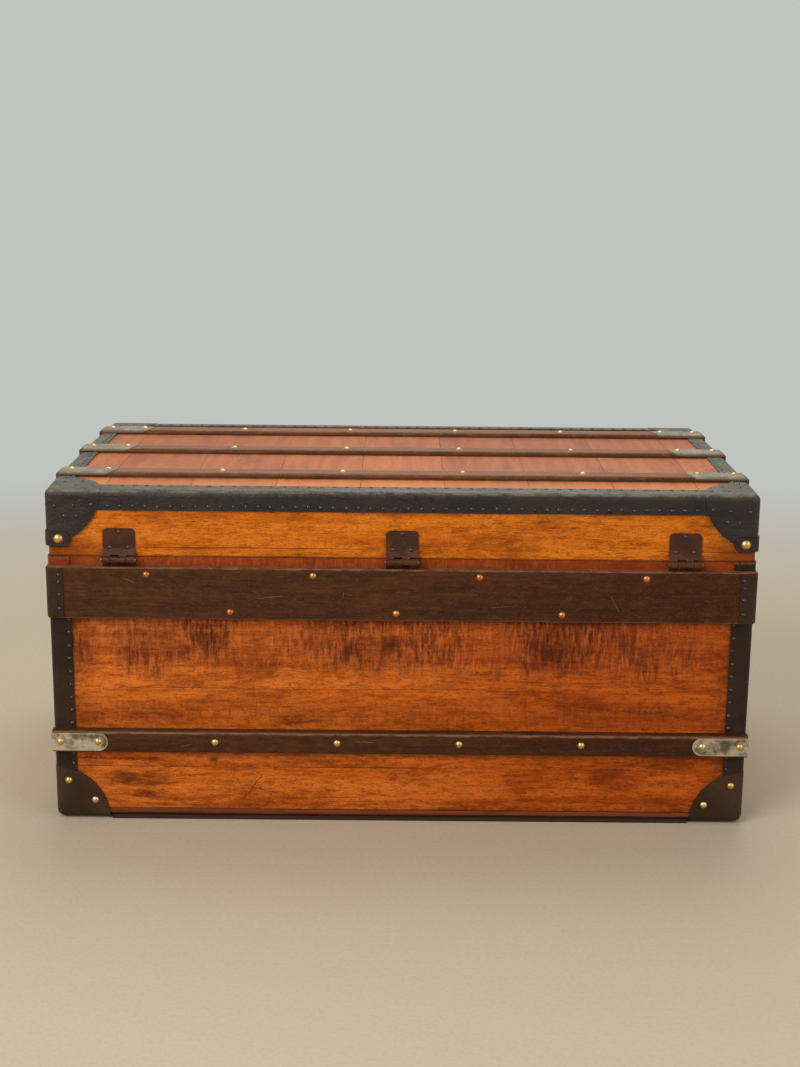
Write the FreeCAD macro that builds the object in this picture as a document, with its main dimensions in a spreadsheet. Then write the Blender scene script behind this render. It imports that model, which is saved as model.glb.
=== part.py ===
import FreeCAD, Part
import math
import os
import Sketcher

# Slatted wooden travel trunk. +Z is up, the floor is z = 0 and the origin is the middle of the footprint.
# X runs along the trunk, the hinge side faces -Y and the lock side faces +Y. All sizes are millimetres.

SIZES = {
    # Outside sizes, over the edge bindings
    "trunk_length": 900,
    "trunk_depth": 500,
    "rim_height": 356,
    "lid_height": 87,
    "lid_crown": 4,
    "lid_gap": 0.4,
    # Boards
    "wall_board": 12,
    "lid_board": 10,
    "bottom_board": 10,
    "runner_height": 5,
    "runner_width": 36,
    "runner_edge_inset": 21,
    "runner_end_inset": 72,
    "lower_joint_height": 74,
    "upper_joint_height": 182,
    "bottom_plank_width": 125,
    "top_plank_width": 108,
    "lip_thickness": 6,
    "lip_depth": 40,
    "lip_rise": 10,
    # Edge bindings and corner caps
    "binding_thickness": 2,
    "edge_radius": 9,
    "body_binding_leg": 28.5,
    "lid_binding_face_leg": 26.5,
    "lid_binding_top_leg": 27,
    "corner_cap_radius": 70,
    "corner_cap_step": 0.6,
    "cover_gap": 0.2,
    # Corner clamps of the lid
    "clamp_thickness": 1.6,
    "clamp_height": 18.6,
    "clamp_drop": 73,
    "clamp_leg": 22,
    # Bands round the top of the body
    "band_height": 67.5,
    "band_drop": 11.5,
    "band_thickness": 10,
    "end_band_thickness": 8,
    "end_band_inset": 38,
    "band_edge_radius": 1.5,
    "band_corner_radius": 7,
    "wrap_thickness": 1.2,
    "wrap_face_leg": 21,
    "wrap_end_leg": 36,
    # Lower slats and their zinc clasps
    "slat_base": 96.7,
    "slat_height": 30,
    "slat_thickness": 12,
    "slat_edge_radius": 4,
    "zinc_thickness": 1.2,
    "clasp_height": 24,
    "clasp_length": 72,
    "clasp_end_leg": 46,
    # Top slats and their zinc end caps
    "top_slat_width": 30,
    "top_slat_thickness": 7,
    "top_slat_edge_inset": 92,
    "top_slat_edge_radius": 5,
    "top_slat_end_radius": 8,
    "slat_end_drop": 3,
    "end_cap_width": 20,
    "end_cap_cover": 4.2,
    "end_cap_length": 78,
    "end_cap_drop": 44,
    # Hinges
    "hinge_width": 41,
    "hinge_end_inset": 92,
    "hinge_stand": 9,
    "hinge_drop": 2,
    "hinge_barrel_radius": 4.5,
    "hinge_pin_radius": 2.5,
    "hinge_leaf_height": 39,
    "hinge_body_leaf_height": 38,
    "hinge_crank_height": 12.7,
    "leaf_thickness": 1.6,
    "leaf_corner_radius": 6,
    "knuckle_gap": 0.4,
    "pin_clearance": 0.06,
    "pin_overhang": 1.2,
    # Hasps, keepers and lock on the front
    "hasp_end_inset": 150,
    "hasp_stand": 14,
    "hasp_axis_rise": 10,
    "hasp_barrel_radius": 4,
    "hasp_pin_radius": 2,
    "hasp_bracket_width": 42,
    "hasp_bracket_height": 34,
    "hasp_crank_height": 13,
    "hasp_knuckle_width": 14,
    "tongue_width": 30,
    "tongue_length": 66,
    "tongue_thickness": 1.8,
    "tongue_shoulder": 9,
    "peg_width": 8,
    "peg_height": 12,
    "peg_drop": 40,
    "peg_reach": 10,
    "peg_clearance": 1.5,
    "keeper_width": 48,
    "keeper_height": 58,
    "keeper_thickness": 1.6,
    "keeper_top_margin": 2,
    "lock_plate_width": 84,
    "lock_case_width": 64,
    "lock_case_height": 48,
    "lock_case_depth": 9,
    "case_wall": 1,
    "bolt_width": 24,
    "bolt_height": 6,
    "bolt_thickness": 4,
    "bolt_eye_margin": 1,
    "bolt_throw": 12,
    "keyhole_radius": 3,
    "keyhole_drop": 44,
    "keyhole_slot_width": 3,
    "keyhole_slot_length": 9,
    # Drop handles on the ends
    "handle_band_gap": 22,
    "handle_stand": 14,
    "handle_rod_radius": 4,
    "handle_half_span": 52,
    "handle_drop": 46,
    "handle_bend_radius": 14,
    "grip_radius": 8.5,
    "grip_length": 72,
    "lug_boss_radius": 8,
    "lug_boss_width": 12,
    "lug_plate_width": 26,
    "lug_plate_height": 46,
    "lug_plate_thickness": 3,
    "lug_side_gap": 0.4,
    "lug_pin_overhang": 1.5,
    # Brass nails
    "nail_radius": 4.5,
    "nail_crown": 2.4,
    "clamp_nail_radius": 6,
    "clamp_nail_crown": 3.2,
    "small_nail_radius": 2.7,
    "small_nail_crown": 1.4,
    "shank_radius": 1.1,
    "shank_length": 14,
    "short_shank_length": 9,
    "band_nail_pitch": 211,
    "band_nail_shift": -7,
    "band_nail_margin": 9.5,
    "slat_nail_pitch": 158,
    "slat_nail_shift": -3,
    "top_nail_pitch": 157,
    "cap_nail_outer": 17,
    "cap_nail_inner": 65,
    "cap_nail_drop": 26,
    "clasp_nail_outer": 10.5,
    "clasp_nail_inner": 59,
    "clasp_nail_end": 30,
    "corner_nail_near": 17,
    "corner_nail_far": 51,
    "corner_nail_low": 24,
    "clamp_nail_inset": 16,
    "end_nail_inset": 43,
    "hinge_nail_low": 14,
    "hinge_nail_high": 34.5,
    "hinge_nail_spread": 11.5,
}

doc = FreeCAD.newDocument("travel_trunk")
sheet = doc.addObject("Spreadsheet::Sheet", "Sizes")
for row, (alias, number) in enumerate(SIZES.items(), 1):
    sheet.set(f"A{row}", alias)
    sheet.set(f"B{row}", str(number))
    sheet.setAlias(f"B{row}", alias)
doc.recompute()


class Size:
    """A length that knows its number and the sheet expression that gives it."""

    def __init__(self, text, number):
        self.text = text
        self.number = number

    def joined(self, other, sign, number, swapped=False):
        text = other.text if isinstance(other, Size) else repr(other)
        first, second = (text, self.text) if swapped else (self.text, text)
        return Size(f"({first} {sign} {second})", number)

    def __add__(self, other):
        return self.joined(other, "+", self.number + float(other))

    def __radd__(self, other):
        return self.joined(other, "+", float(other) + self.number, True)

    def __sub__(self, other):
        return self.joined(other, "-", self.number - float(other))

    def __rsub__(self, other):
        return self.joined(other, "-", float(other) - self.number, True)

    def __mul__(self, other):
        return self.joined(other, "*", self.number * float(other))

    def __rmul__(self, other):
        return self.joined(other, "*", float(other) * self.number, True)

    def __truediv__(self, other):
        return self.joined(other, "/", self.number / float(other))

    def __neg__(self):
        return Size(f"(-1 * {self.text})", -self.number)

    def __float__(self):
        return float(self.number)


class Named:
    """Every sheet cell as an attribute."""

    def __init__(self):
        for alias in SIZES:
            setattr(self, alias, Size(f"Sizes.{alias}", float(sheet.get(alias))))


size = Named()
parts = {}
X_AXIS = FreeCAD.Vector(1, 0, 0)
Y_AXIS = FreeCAD.Vector(0, 1, 0)
Z_AXIS = FreeCAD.Vector(0, 0, 1)


# Building blocks

def bind(item, prop, length):
    """Tie one property to the sheet, or set it where it is a plain number."""
    if isinstance(length, Size):
        item.setExpression(prop, length.text)
    else:
        item.setExpression(prop, repr(float(length)))


def place(item, x, y, z):
    for axis, length in zip("xyz", (x, y, z)):
        bind(item, f"Placement.Base.{axis}", length)


def box(name, x, y, z):
    """A box between pairs of coordinates."""
    item = doc.addObject("Part::Box", name)
    for prop, (low, high) in zip(("Length", "Width", "Height"), (x, y, z)):
        bind(item, prop, high - low)
    place(item, x[0], y[0], z[0])
    return item


TURNS = {
    "x": FreeCAD.Rotation(Z_AXIS, X_AXIS),
    "y": FreeCAD.Rotation(Z_AXIS, Y_AXIS),
    "z": FreeCAD.Rotation(),
}


def rod(name, axis, radius, span, centre):
    """A cylinder along one axis between two coordinates, about a centre line in the other two."""
    item = doc.addObject("Part::Cylinder", name)
    bind(item, "Radius", radius)
    bind(item, "Height", span[1] - span[0])
    item.Placement.Rotation = TURNS[axis]
    spot = list(centre)
    spot.insert("xyz".index(axis), span[0])
    place(item, *spot)
    return item


def ball(name, radius, x, y, z):
    item = doc.addObject("Part::Sphere", name)
    bind(item, "Radius", radius)
    place(item, x, y, z)
    return item


def cut(name, base, *tools):
    """Take each tool out of the base in turn."""
    for number, tool in enumerate(tools):
        item = doc.addObject("Part::Cut", f"{name}_cut{number}")
        item.Base = base
        item.Tool = tool
        base = item
    return base


def common(name, first, second):
    item = doc.addObject("Part::Common", name)
    item.Base = first
    item.Tool = second
    return item


def fuse(name, *items):
    item = doc.addObject("Part::MultiFuse", name)
    item.Shapes = list(items)
    return item


def group(name, *items):
    """Separate solids in one node."""
    item = doc.addObject("Part::Compound", name)
    item.Links = list(items)
    return item


def node(label, item):
    """Register one named piece of the trunk."""
    item.Label = label
    parts[label] = item
    return item


def sketch_on(body, role):
    sketch = body.newObject("Sketcher::SketchObject", f"{body.Name}_outline")
    plane = next(item for item in body.Origin.OriginFeatures if item.Role == role)
    sketch.AttachmentSupport = [(plane, "")]
    sketch.MapMode = "FlatFace"
    return sketch


def pin_point(sketch, edge, end, x, y):
    """Fix one end of a sketch line at sheet-driven coordinates."""
    for kind, length in (("DistanceX", x), ("DistanceY", y)):
        rule = sketch.addConstraint(Sketcher.Constraint(kind, -1, 1, edge, end, float(length)))
        formula = length.text if isinstance(length, Size) else repr(float(length))
        sketch.setExpression(f"Constraints[{rule}]", formula)


def polygon(sketch, points):
    """A closed outline of straight lines through sheet-driven corners."""
    spots = [FreeCAD.Vector(float(x), float(y), 0) for x, y in points]
    count = len(spots)
    for number in range(count):
        sketch.addGeometry(Part.LineSegment(spots[number], spots[(number + 1) % count]), False)
    for number in range(count):
        sketch.addConstraint(Sketcher.Constraint("Coincident", number, 2, (number + 1) % count, 1))
    for number, (x, y) in enumerate(points):
        pin_point(sketch, number, 1, x, y)


def pad(body, sketch, length):
    """Thicken an outline to both sides of its plane."""
    item = body.newObject("PartDesign::Pad", f"{body.Name}_pad")
    item.Profile = sketch
    item.SideType = "Symmetric"
    bind(item, "Length", length)
    doc.recompute()
    return item


def round_edges(body, base, chosen, radius):
    """Round the edges of the base that a test picks."""
    names = [f"Edge{number}" for number, edge in enumerate(base.Shape.Edges, 1) if chosen(edge)]
    item = body.newObject("PartDesign::Fillet", f"{body.Name}_round{len(body.Group)}")
    item.Base = (base, names)
    bind(item, "Radius", radius)
    doc.recompute()
    return item


def along(edge, axis):
    first, last = edge.Vertexes[0].Point, edge.Vertexes[-1].Point
    step = last - first
    return step.Length > 0 and abs(abs(step.normalize().dot(axis)) - 1) < 1e-6


# Shared coordinates

half_length = size.trunk_length / 2
half_depth = size.trunk_depth / 2
wood_x = half_length - size.binding_thickness
wood_y = half_depth - size.binding_thickness
floor_top = size.runner_height + size.bottom_board
band_top = size.rim_height - size.band_drop
band_base = band_top - size.band_height
band_face = wood_y + size.band_thickness
slat_top = size.slat_base + size.slat_height
slat_face = wood_y + size.slat_thickness
lid_base = size.rim_height + size.lid_gap
far = size.trunk_length
hinge_y = -(wood_y + size.hinge_stand)
hinge_z = size.rim_height - size.hinge_drop
hasp_y = wood_y + size.hasp_stand
hasp_z = size.rim_height + size.hasp_axis_rise
lid_edge_z = size.rim_height + size.lid_height
hinge_pitch = half_length - size.hinge_end_inset
hasp_pitch = half_length - size.hasp_end_inset
top_slat_pitch = half_depth - size.top_slat_edge_inset
runner_pitch = half_depth - size.runner_edge_inset
crown_height = lid_edge_z + size.lid_crown


# Envelopes: the wood and the covers that lie on it, as whole rounded blocks

def body_envelope(name, offset):
    """The body as a block that stands an offset outside the wood."""
    body = doc.addObject("PartDesign::Body", name)
    sketch = sketch_on(body, "XZ_Plane")
    x = wood_x + offset
    base = size.runner_height - offset
    polygon(sketch, [(-x, base), (x, base), (x, size.rim_height), (-x, size.rim_height)])
    block = pad(body, sketch, 2 * (wood_y + offset))

    def chosen(edge):
        return along(edge, Z_AXIS) or all(vertex.Z < float(floor_top) for vertex in edge.Vertexes)

    round_edges(body, block, chosen, size.edge_radius - size.binding_thickness + offset)
    return body


def lid_profile(name, offset, drop):
    """The lid as a crowned block an offset outside the wood, with its top lowered by a drop."""
    body = doc.addObject("PartDesign::Body", name)
    sketch = sketch_on(body, "YZ_Plane")
    y = wood_y + offset
    edge = lid_edge_z - size.binding_thickness + offset - drop
    top = edge + size.lid_crown
    corners = [(-y, lid_base), (y, lid_base), (y, edge), (-y, edge)]
    spots = [FreeCAD.Vector(float(u), float(v), 0) for u, v in corners]
    sketch.addGeometry(Part.LineSegment(spots[0], spots[1]), False)
    sketch.addGeometry(Part.LineSegment(spots[1], spots[2]), False)
    sketch.addGeometry(Part.Arc(spots[2], FreeCAD.Vector(0, float(top), 0), spots[3]), False)
    sketch.addGeometry(Part.LineSegment(spots[3], spots[0]), False)
    for first, last in ((0, 1), (1, 2), (2, 3), (3, 0)):
        sketch.addConstraint(Sketcher.Constraint("Coincident", first, 2, last, 1))
    pin_point(sketch, 0, 1, *corners[0])
    pin_point(sketch, 0, 2, *corners[1])
    pin_point(sketch, 1, 2, *corners[2])
    pin_point(sketch, 3, 1, *corners[3])
    radius = (y * y + size.lid_crown * size.lid_crown) / (2 * size.lid_crown)
    rule = sketch.addConstraint(Sketcher.Constraint("Radius", 2, float(radius)))
    sketch.setExpression(f"Constraints[{rule}]", radius.text)
    pad(body, sketch, 2 * (wood_x + offset))
    return body


def lid_envelope(name, offset):
    body = lid_profile(name, offset, 0)
    block = body.Tip

    def chosen(edge):
        return along(edge, Z_AXIS) or all(vertex.Z > float(lid_base) + 1 for vertex in edge.Vertexes)

    round_edges(body, block, chosen, size.edge_radius - size.binding_thickness + offset)
    return body


cap_offset = size.binding_thickness + size.corner_cap_step
body_wood = body_envelope("body_wood", 0)
body_cover = body_envelope("body_cover", size.binding_thickness)
body_cap_cover = body_envelope("body_cap_cover", cap_offset)
lid_wood = lid_envelope("lid_wood", 0)
lid_cover = lid_envelope("lid_cover", size.binding_thickness)
lid_cap_cover = lid_envelope("lid_cap_cover", cap_offset)
lid_clamp_cover = lid_envelope("lid_clamp_cover", cap_offset + size.clamp_thickness)
lid_under = lid_profile("lid_under", 0, size.lid_board)

SIDES = {"left": -1, "right": 1}
FACES = {"back": -1, "front": 1}


def span(sign, near, distant):
    """A coordinate pair in rising order on the chosen side of the middle."""
    return (-distant, -near) if sign < 0 else (near, distant)


# Body boards

def plank_rows(name, x, y):
    """One wall as horizontal boards, cut to the rounded block."""
    heights = (floor_top, size.lower_joint_height, size.upper_joint_height, size.rim_height)
    rows = []
    for number in range(len(heights) - 1):
        blank = box(f"{name}_blank{number}", x, y, heights[number:number + 2])
        rows.append(common(f"{name}_row{number}", body_wood, blank))
    return node(name, group(f"{name}_group", *rows))


inner_y = wood_y - size.wall_board
inner_x = wood_x - size.wall_board
for face, sign in FACES.items():
    plank_rows(f"{face}_boards", (-wood_x, wood_x), span(sign, inner_y, wood_y))
for side, sign in SIDES.items():
    plank_rows(f"{side}_end_boards", span(sign, inner_x, wood_x), (-inner_y, inner_y))

planks = []
plank_count = 2 * math.ceil(float(wood_y / size.bottom_plank_width))
for number in range(plank_count):
    low = size.bottom_plank_width * (number - plank_count // 2)
    blank = box(f"floor_blank{number}", (-wood_x, wood_x), (low, low + size.bottom_plank_width),
                (size.runner_height, floor_top))
    planks.append(common(f"floor_plank{number}", body_wood, blank))
node("bottom_boards", group("bottom_group", *planks))

runner_reach = half_length - size.runner_end_inset
runners = []
for number in (-1, 0, 1):
    middle = runner_pitch * number
    across = (middle - size.runner_width / 2, middle + size.runner_width / 2)
    runners.append(box(f"runner{number + 1}", (-runner_reach, runner_reach), across,
                       (0, size.runner_height)))
node("bottom_runners", group("runner_group", *runners))

lip_z = (size.rim_height - size.lip_depth + size.lip_rise, size.rim_height + size.lip_rise)
lip_x = inner_x - size.lip_thickness
lip_y = inner_y - size.lip_thickness
strips = []
for face, sign in FACES.items():
    strips.append(box(f"lip_{face}", (-inner_x, inner_x), span(sign, lip_y, inner_y), lip_z))
for side, sign in SIDES.items():
    strips.append(box(f"lip_{side}", span(sign, lip_x, inner_x), (-lip_y, lip_y), lip_z))
node("rim_lip", group("lip_group", *strips))


# Lid boards and rails

lid_inner_x = wood_x - size.lid_board
lid_inner_y = wood_y - size.lid_board
lid_z = (lid_base, crown_height)


def lid_rail(name, x, y):
    blank = box(f"{name}_blank", x, y, lid_z)
    outside = common(f"{name}_outside", lid_wood, blank)
    node(name, common(f"{name}_rail", outside, lid_under))


for face, sign in FACES.items():
    lid_rail(f"lid_{face}_rail", (-wood_x, wood_x), span(sign, lid_inner_y, wood_y))
for side, sign in SIDES.items():
    lid_rail(f"lid_{side}_rail", span(sign, lid_inner_x, wood_x), (-lid_inner_y, lid_inner_y))

planks = []
plank_pairs = math.ceil(float(wood_x / size.top_plank_width) - 0.5)
for number in range(-plank_pairs, plank_pairs + 1):
    place_in_row = number + plank_pairs
    low = size.top_plank_width * (number - 0.5)
    along_lid = (low, low + size.top_plank_width)
    blank = box(f"top_blank{place_in_row}", along_lid, (-wood_y, wood_y), lid_z)
    plank = common(f"top_plank{place_in_row}", lid_wood, blank)
    planks.append(cut(f"top_plank_under{place_in_row}", plank, lid_under))
node("lid_top_boards", group("top_group", *planks))


# Edge bindings, corner caps and clamps

cap_clear_radius = size.corner_cap_radius + size.cover_gap
body_shell = cut("body_shell", body_cover, body_wood)
body_cap_shell = cut("body_cap_shell", body_cap_cover, body_wood)
lid_shell = cut("lid_shell", lid_cover, lid_wood)
lid_cap_shell = cut("lid_cap_shell", lid_cap_cover, lid_wood)
cap_foot = size.runner_height - size.binding_thickness
lid_caps = []
body_caps = []
lid_spheres = []
clamps = []
corner_bindings = {}
clamp_base = lid_edge_z - size.clamp_drop
clamp_middle = clamp_base + size.clamp_height / 2
clamp_z = (clamp_base, clamp_base + size.clamp_height)
clamp_end_x = half_length - size.clamp_leg
clamp_end_y = half_depth - size.clamp_leg
for face, face_sign in FACES.items():
    for side, side_sign in SIDES.items():
        key = f"{face}_{side}"
        corner = (side_sign * half_length, face_sign * half_depth)
        x_leg = span(side_sign, half_length - size.body_binding_leg, far)
        y_leg = span(face_sign, half_depth - size.body_binding_leg, far)
        leg_box = box(f"binding_box_{key}", x_leg, y_leg, (0, size.rim_height))
        strip = common(f"binding_{key}", body_shell, leg_box)
        clear = ball(f"foot_clear_{key}", cap_clear_radius, *corner, cap_foot)
        corner_bindings[key] = node(f"corner_binding_{key}", cut(f"binding_{key}_strip", strip, clear))
        foot = ball(f"foot_ball_{key}", size.corner_cap_radius, *corner, cap_foot)
        body_caps.append(common(f"foot_cap_{key}", body_cap_shell, foot))
        tip = ball(f"lid_ball_{key}", size.corner_cap_radius, *corner, lid_edge_z)
        lid_cap = common(f"lid_cap_{key}", lid_cap_shell, tip)
        lid_caps.append(lid_cap)
        lid_spheres.append(ball(f"lid_clear_{key}", cap_clear_radius, *corner, lid_edge_z))
        clamp_x = span(side_sign, clamp_end_x, far)
        clamp_y = span(face_sign, clamp_end_y, far)
        tab = fuse(f"clamp_tab_{key}",
                   box(f"clamp_box_{key}", clamp_x, clamp_y, clamp_z),
                   rod(f"clamp_tip_y_{key}", "y", size.clamp_height / 2, span(face_sign, wood_y, far),
                       (side_sign * clamp_end_x, clamp_middle)),
                   rod(f"clamp_tip_x_{key}", "x", size.clamp_height / 2, span(side_sign, wood_x, far),
                       (face_sign * clamp_end_y, clamp_middle)))
        clamp = common(f"clamp_{key}", lid_clamp_cover, tab)
        clamps.append(cut(f"clamp_inner_{key}", clamp, lid_wood, lid_cap))
node("bottom_corner_caps", group("foot_cap_group", *body_caps))
node("lid_corner_caps", group("lid_cap_group", *lid_caps))
node("lid_corner_clamps", group("clamp_group", *clamps))
lid_clear = fuse("lid_clear", *lid_spheres)


def lid_binding(name, x, y):
    """One edge of the lid: a strip on the top and a strip on the face, stopped at the corner caps."""
    blank = box(f"{name}_blank", x, y, (lid_edge_z - size.lid_binding_face_leg, far))
    return node(name, cut(f"{name}_strip", common(f"{name}_edge", lid_shell, blank), lid_clear))


lid_bindings = {}
for face, sign in FACES.items():
    lid_bindings[face] = lid_binding(f"lid_binding_{face}", (-far, far),
                                     span(sign, half_depth - size.lid_binding_top_leg, far))
for side, sign in SIDES.items():
    lid_bindings[side] = lid_binding(f"lid_binding_{side}",
                                     span(sign, half_length - size.lid_binding_top_leg, far), (-far, far))


# Hinges

KNUCKLES = 4
knuckle = size.hinge_width / KNUCKLES
hinge_bore = size.hinge_pin_radius + size.pin_clearance


def leaf_blank(name, stand, barrel, pin, plate_end, bend, up, width):
    """A cranked leaf about an axis at the origin. The wall it lies on is a stand distance along -X, and its
    plate runs up (1) or down (-1)."""
    body = doc.addObject("PartDesign::Body", name)
    sketch = sketch_on(body, "XZ_Plane")
    thick = size.leaf_thickness
    wall = (barrel + pin) / 2
    outline = [(-stand, up * plate_end), (thick - stand, up * plate_end),
               (thick - stand, up * (bend + thick / 2)), (0, up * (wall + thick / 2)),
               (-thick, up * (wall - thick / 2)), (-stand, up * bend)]
    polygon(sketch, outline)
    plate = pad(body, sketch, width)

    def chosen(edge):
        end = float(plate_end) - 1e-3
        return along(edge, X_AXIS) and all(up * vertex.Z > end for vertex in edge.Vertexes)

    round_edges(body, plate, chosen, size.leaf_corner_radius)
    return body


def turned(name, item, angle, x, y, z):
    """A copy of a piece turned about Z and set at a place."""
    copy = doc.addObject("Part::Compound", name)
    copy.Links = [item]
    copy.Placement.Rotation = FreeCAD.Rotation(Z_AXIS, angle)
    place(copy, x, y, z)
    return copy


def hinge_leaf(name, plate_end, up, kept):
    """One hinge leaf about the pin axis: plate, crank and two of the four knuckles."""
    half = size.hinge_width / 2
    plate = leaf_blank(f"{name}_plate", size.hinge_stand, size.hinge_barrel_radius, hinge_bore, plate_end,
                       size.hinge_crank_height, up, size.hinge_width)
    barrel = rod(f"{name}_barrel", "y", size.hinge_barrel_radius, (-half, half), (0, 0))
    leaf = fuse(f"{name}_whole", plate, barrel)
    tools = [rod(f"{name}_bore", "y", hinge_bore, (-half, half), (0, 0))]
    reach = size.hinge_barrel_radius + size.leaf_thickness
    for number in range(KNUCKLES):
        if number not in kept:
            low = knuckle * number - half - size.knuckle_gap / 2
            tools.append(box(f"{name}_slot{number}", (-reach, reach),
                             (low, low + knuckle + size.knuckle_gap), (-reach, reach)))
    return cut(f"{name}_cut", leaf, *tools)


lid_leaf = hinge_leaf("lid_leaf", size.hinge_leaf_height, 1, (0, 2))
body_leaf = hinge_leaf("body_leaf", size.hinge_body_leaf_height, -1, (1, 3))
lid_leaves = []
body_leaves = []
pins = []
for number in (-1, 0, 1):
    spot = hinge_pitch * number
    lid_leaves.append(turned(f"lid_leaf{number + 1}", lid_leaf, -90, spot, hinge_y, hinge_z))
    body_leaves.append(turned(f"body_leaf{number + 1}", body_leaf, -90, spot, hinge_y, hinge_z))
    reach = size.hinge_width / 2 + size.pin_overhang
    pins.append(rod(f"hinge_pin{number + 1}", "x", size.hinge_pin_radius, (spot - reach, spot + reach),
                    (hinge_y, hinge_z)))
node("hinge_lid_leaves", group("lid_leaf_group", *lid_leaves))
hinge_body_leaves = node("hinge_body_leaves", group("body_leaf_group", *body_leaves))
node("hinge_pins", group("hinge_pin_group", *pins))


# Bands, lower slats and their clasps

bindings_all = group("all_corner_bindings", *corner_bindings.values())


def rail_bar(name, face, x, y_face, z, radius):
    """A bar along one long face with its outer edges rounded, seated on the boards."""
    sign = FACES[face]
    body = doc.addObject("PartDesign::Body", f"{name}_bar")
    sketch = sketch_on(body, "YZ_Plane")
    y = [sign * wood_y, sign * y_face]
    polygon(sketch, [(y[0], z[0]), (y[1], z[0]), (y[1], z[1]), (y[0], z[1])])
    bar = pad(body, sketch, 2 * x)

    def chosen(edge):
        outside = float(y_face) - 1e-3
        return along(edge, X_AXIS) and all(abs(vertex.Y) > outside for vertex in edge.Vertexes)

    round_edges(body, bar, chosen, radius)
    return body


peg_top = hasp_z - size.peg_drop
peg_base = peg_top - size.peg_height
peg_half = size.peg_width / 2 + size.peg_clearance
pocket_z = (peg_base - size.peg_clearance, far)
pocket_y = (hasp_y - size.tongue_thickness / 2 - size.peg_reach - size.case_wall, far)
plate_top = band_top - size.keeper_top_margin
case_half = size.lock_case_width / 2
case_z = (plate_top - size.lock_case_height, plate_top)
case_y = (wood_y + (size.band_thickness - size.lock_case_depth), band_face)
band_z = (band_base, band_top)
corner_x = half_length - size.band_corner_radius
corner_y = band_face - size.band_corner_radius
corner_z = (band_base - size.band_corner_radius, band_top + size.band_corner_radius)
slivers = {}
for face, face_sign in FACES.items():
    slivers[face] = []
    for side, side_sign in SIDES.items():
        key = f"{face}_{side}"
        edge = box(f"band_edge_{key}", span(side_sign, corner_x, far), span(face_sign, corner_y, far),
                   corner_z)
        core = rod(f"band_core_{key}", "z", size.band_corner_radius, corner_z,
                   (side_sign * corner_x, face_sign * corner_y))
        slivers[face].append(cut(f"band_sliver_{key}", edge, core))
band_back = rail_bar("band_back", "back", half_length, band_face, band_z, size.band_edge_radius)
node("band_back", cut("band_back_seat", band_back, bindings_all, hinge_body_leaves, *slivers["back"]))
band_front = rail_bar("band_front", "front", half_length, band_face, band_z, size.band_edge_radius)
pockets = []
for sign in (-1, 1):
    middle = sign * hasp_pitch
    pocket_x = (middle - peg_half, middle + peg_half)
    pockets.append(box(f"keeper_pocket{sign + 1}", pocket_x, pocket_y, pocket_z))
lock_window = box("lock_window", (-case_half, case_half), (case_y[0], far), (case_z[0], far))
node("band_front", cut("band_front_seat", band_front, bindings_all, *pockets, lock_window,
                       *slivers["front"]))
end_band_y = half_depth - size.end_band_inset
for side, sign in SIDES.items():
    node(f"band_{side}", box(f"band_{side}_bar", span(sign, wood_x, wood_x + size.end_band_thickness),
                             (-end_band_y, end_band_y), band_z))
slat_z = (size.slat_base, slat_top)
for face in FACES:
    bar = rail_bar(f"slat_{face}", face, half_length, slat_face, slat_z, size.slat_edge_radius)
    node(f"lower_slat_{face}", cut(f"slat_{face}_seat", bar, bindings_all))

wrap_z = (band_base + size.band_edge_radius, band_top - size.band_edge_radius)
clasp_middle = size.slat_base + size.slat_height / 2
clasp_z = (clasp_middle - size.clasp_height / 2, clasp_middle + size.clasp_height / 2)
clasp_round = size.clasp_height / 2
wrap_radius = size.band_corner_radius + size.wrap_thickness
wraps = []
clasps = []
for face, face_sign in FACES.items():
    for side, side_sign in SIDES.items():
        key = f"{face}_{side}"
        centre = (side_sign * corner_x, face_sign * corner_y)
        ring = cut(f"wrap_ring_{key}",
                   rod(f"wrap_outside_{key}", "z", wrap_radius, wrap_z, centre),
                   rod(f"wrap_inside_{key}", "z", size.band_corner_radius, wrap_z, centre))
        quarter = box(f"wrap_quarter_{key}", span(side_sign, corner_x, far), span(face_sign, corner_y, far),
                      wrap_z)
        wrap = fuse(f"wrap_{key}",
                    box(f"wrap_face_{key}", span(side_sign, half_length - size.wrap_face_leg, corner_x),
                        span(face_sign, band_face, band_face + size.wrap_thickness), wrap_z),
                    common(f"wrap_bend_{key}", ring, quarter),
                    box(f"wrap_end_{key}", span(side_sign, half_length, half_length + size.wrap_thickness),
                        span(face_sign, half_depth - size.wrap_end_leg, corner_y), wrap_z))
        wraps.append(wrap)
        outer_x = half_length + size.zinc_thickness
        outer_y = slat_face + size.zinc_thickness
        tip_x = half_length - size.clasp_length + clasp_round
        tip_y = half_depth - size.clasp_end_leg + clasp_round
        sheet_x = span(side_sign, half_length, outer_x)
        sheet_y = span(face_sign, slat_face, outer_y)
        clasp = fuse(f"clasp_{key}",
                     box(f"clasp_face_{key}", span(side_sign, tip_x, outer_x), sheet_y, clasp_z),
                     rod(f"clasp_face_tip_{key}", "y", clasp_round, sheet_y,
                         (side_sign * tip_x, clasp_middle)),
                     box(f"clasp_end_{key}", sheet_x, span(face_sign, tip_y, outer_y), clasp_z),
                     rod(f"clasp_end_tip_{key}", "x", clasp_round, sheet_x,
                         (face_sign * tip_y, clasp_middle)))
        clasps.append(clasp)
node("band_corner_wraps", group("wrap_group", *wraps))
node("slat_clasps", group("clasp_group", *clasps))


# Top slats and their end caps

SLAT_STEPS = {"back": -1, "middle": 0, "front": 1}
slat_spots = {name: top_slat_pitch * step for name, step in SLAT_STEPS.items()}
wood_crown = lid_edge_z - size.binding_thickness + size.lid_crown
crown_radius = (wood_y * wood_y + size.lid_crown * size.lid_crown) / (2 * size.lid_crown)
end_caps = []
slat_tops = {}


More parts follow.
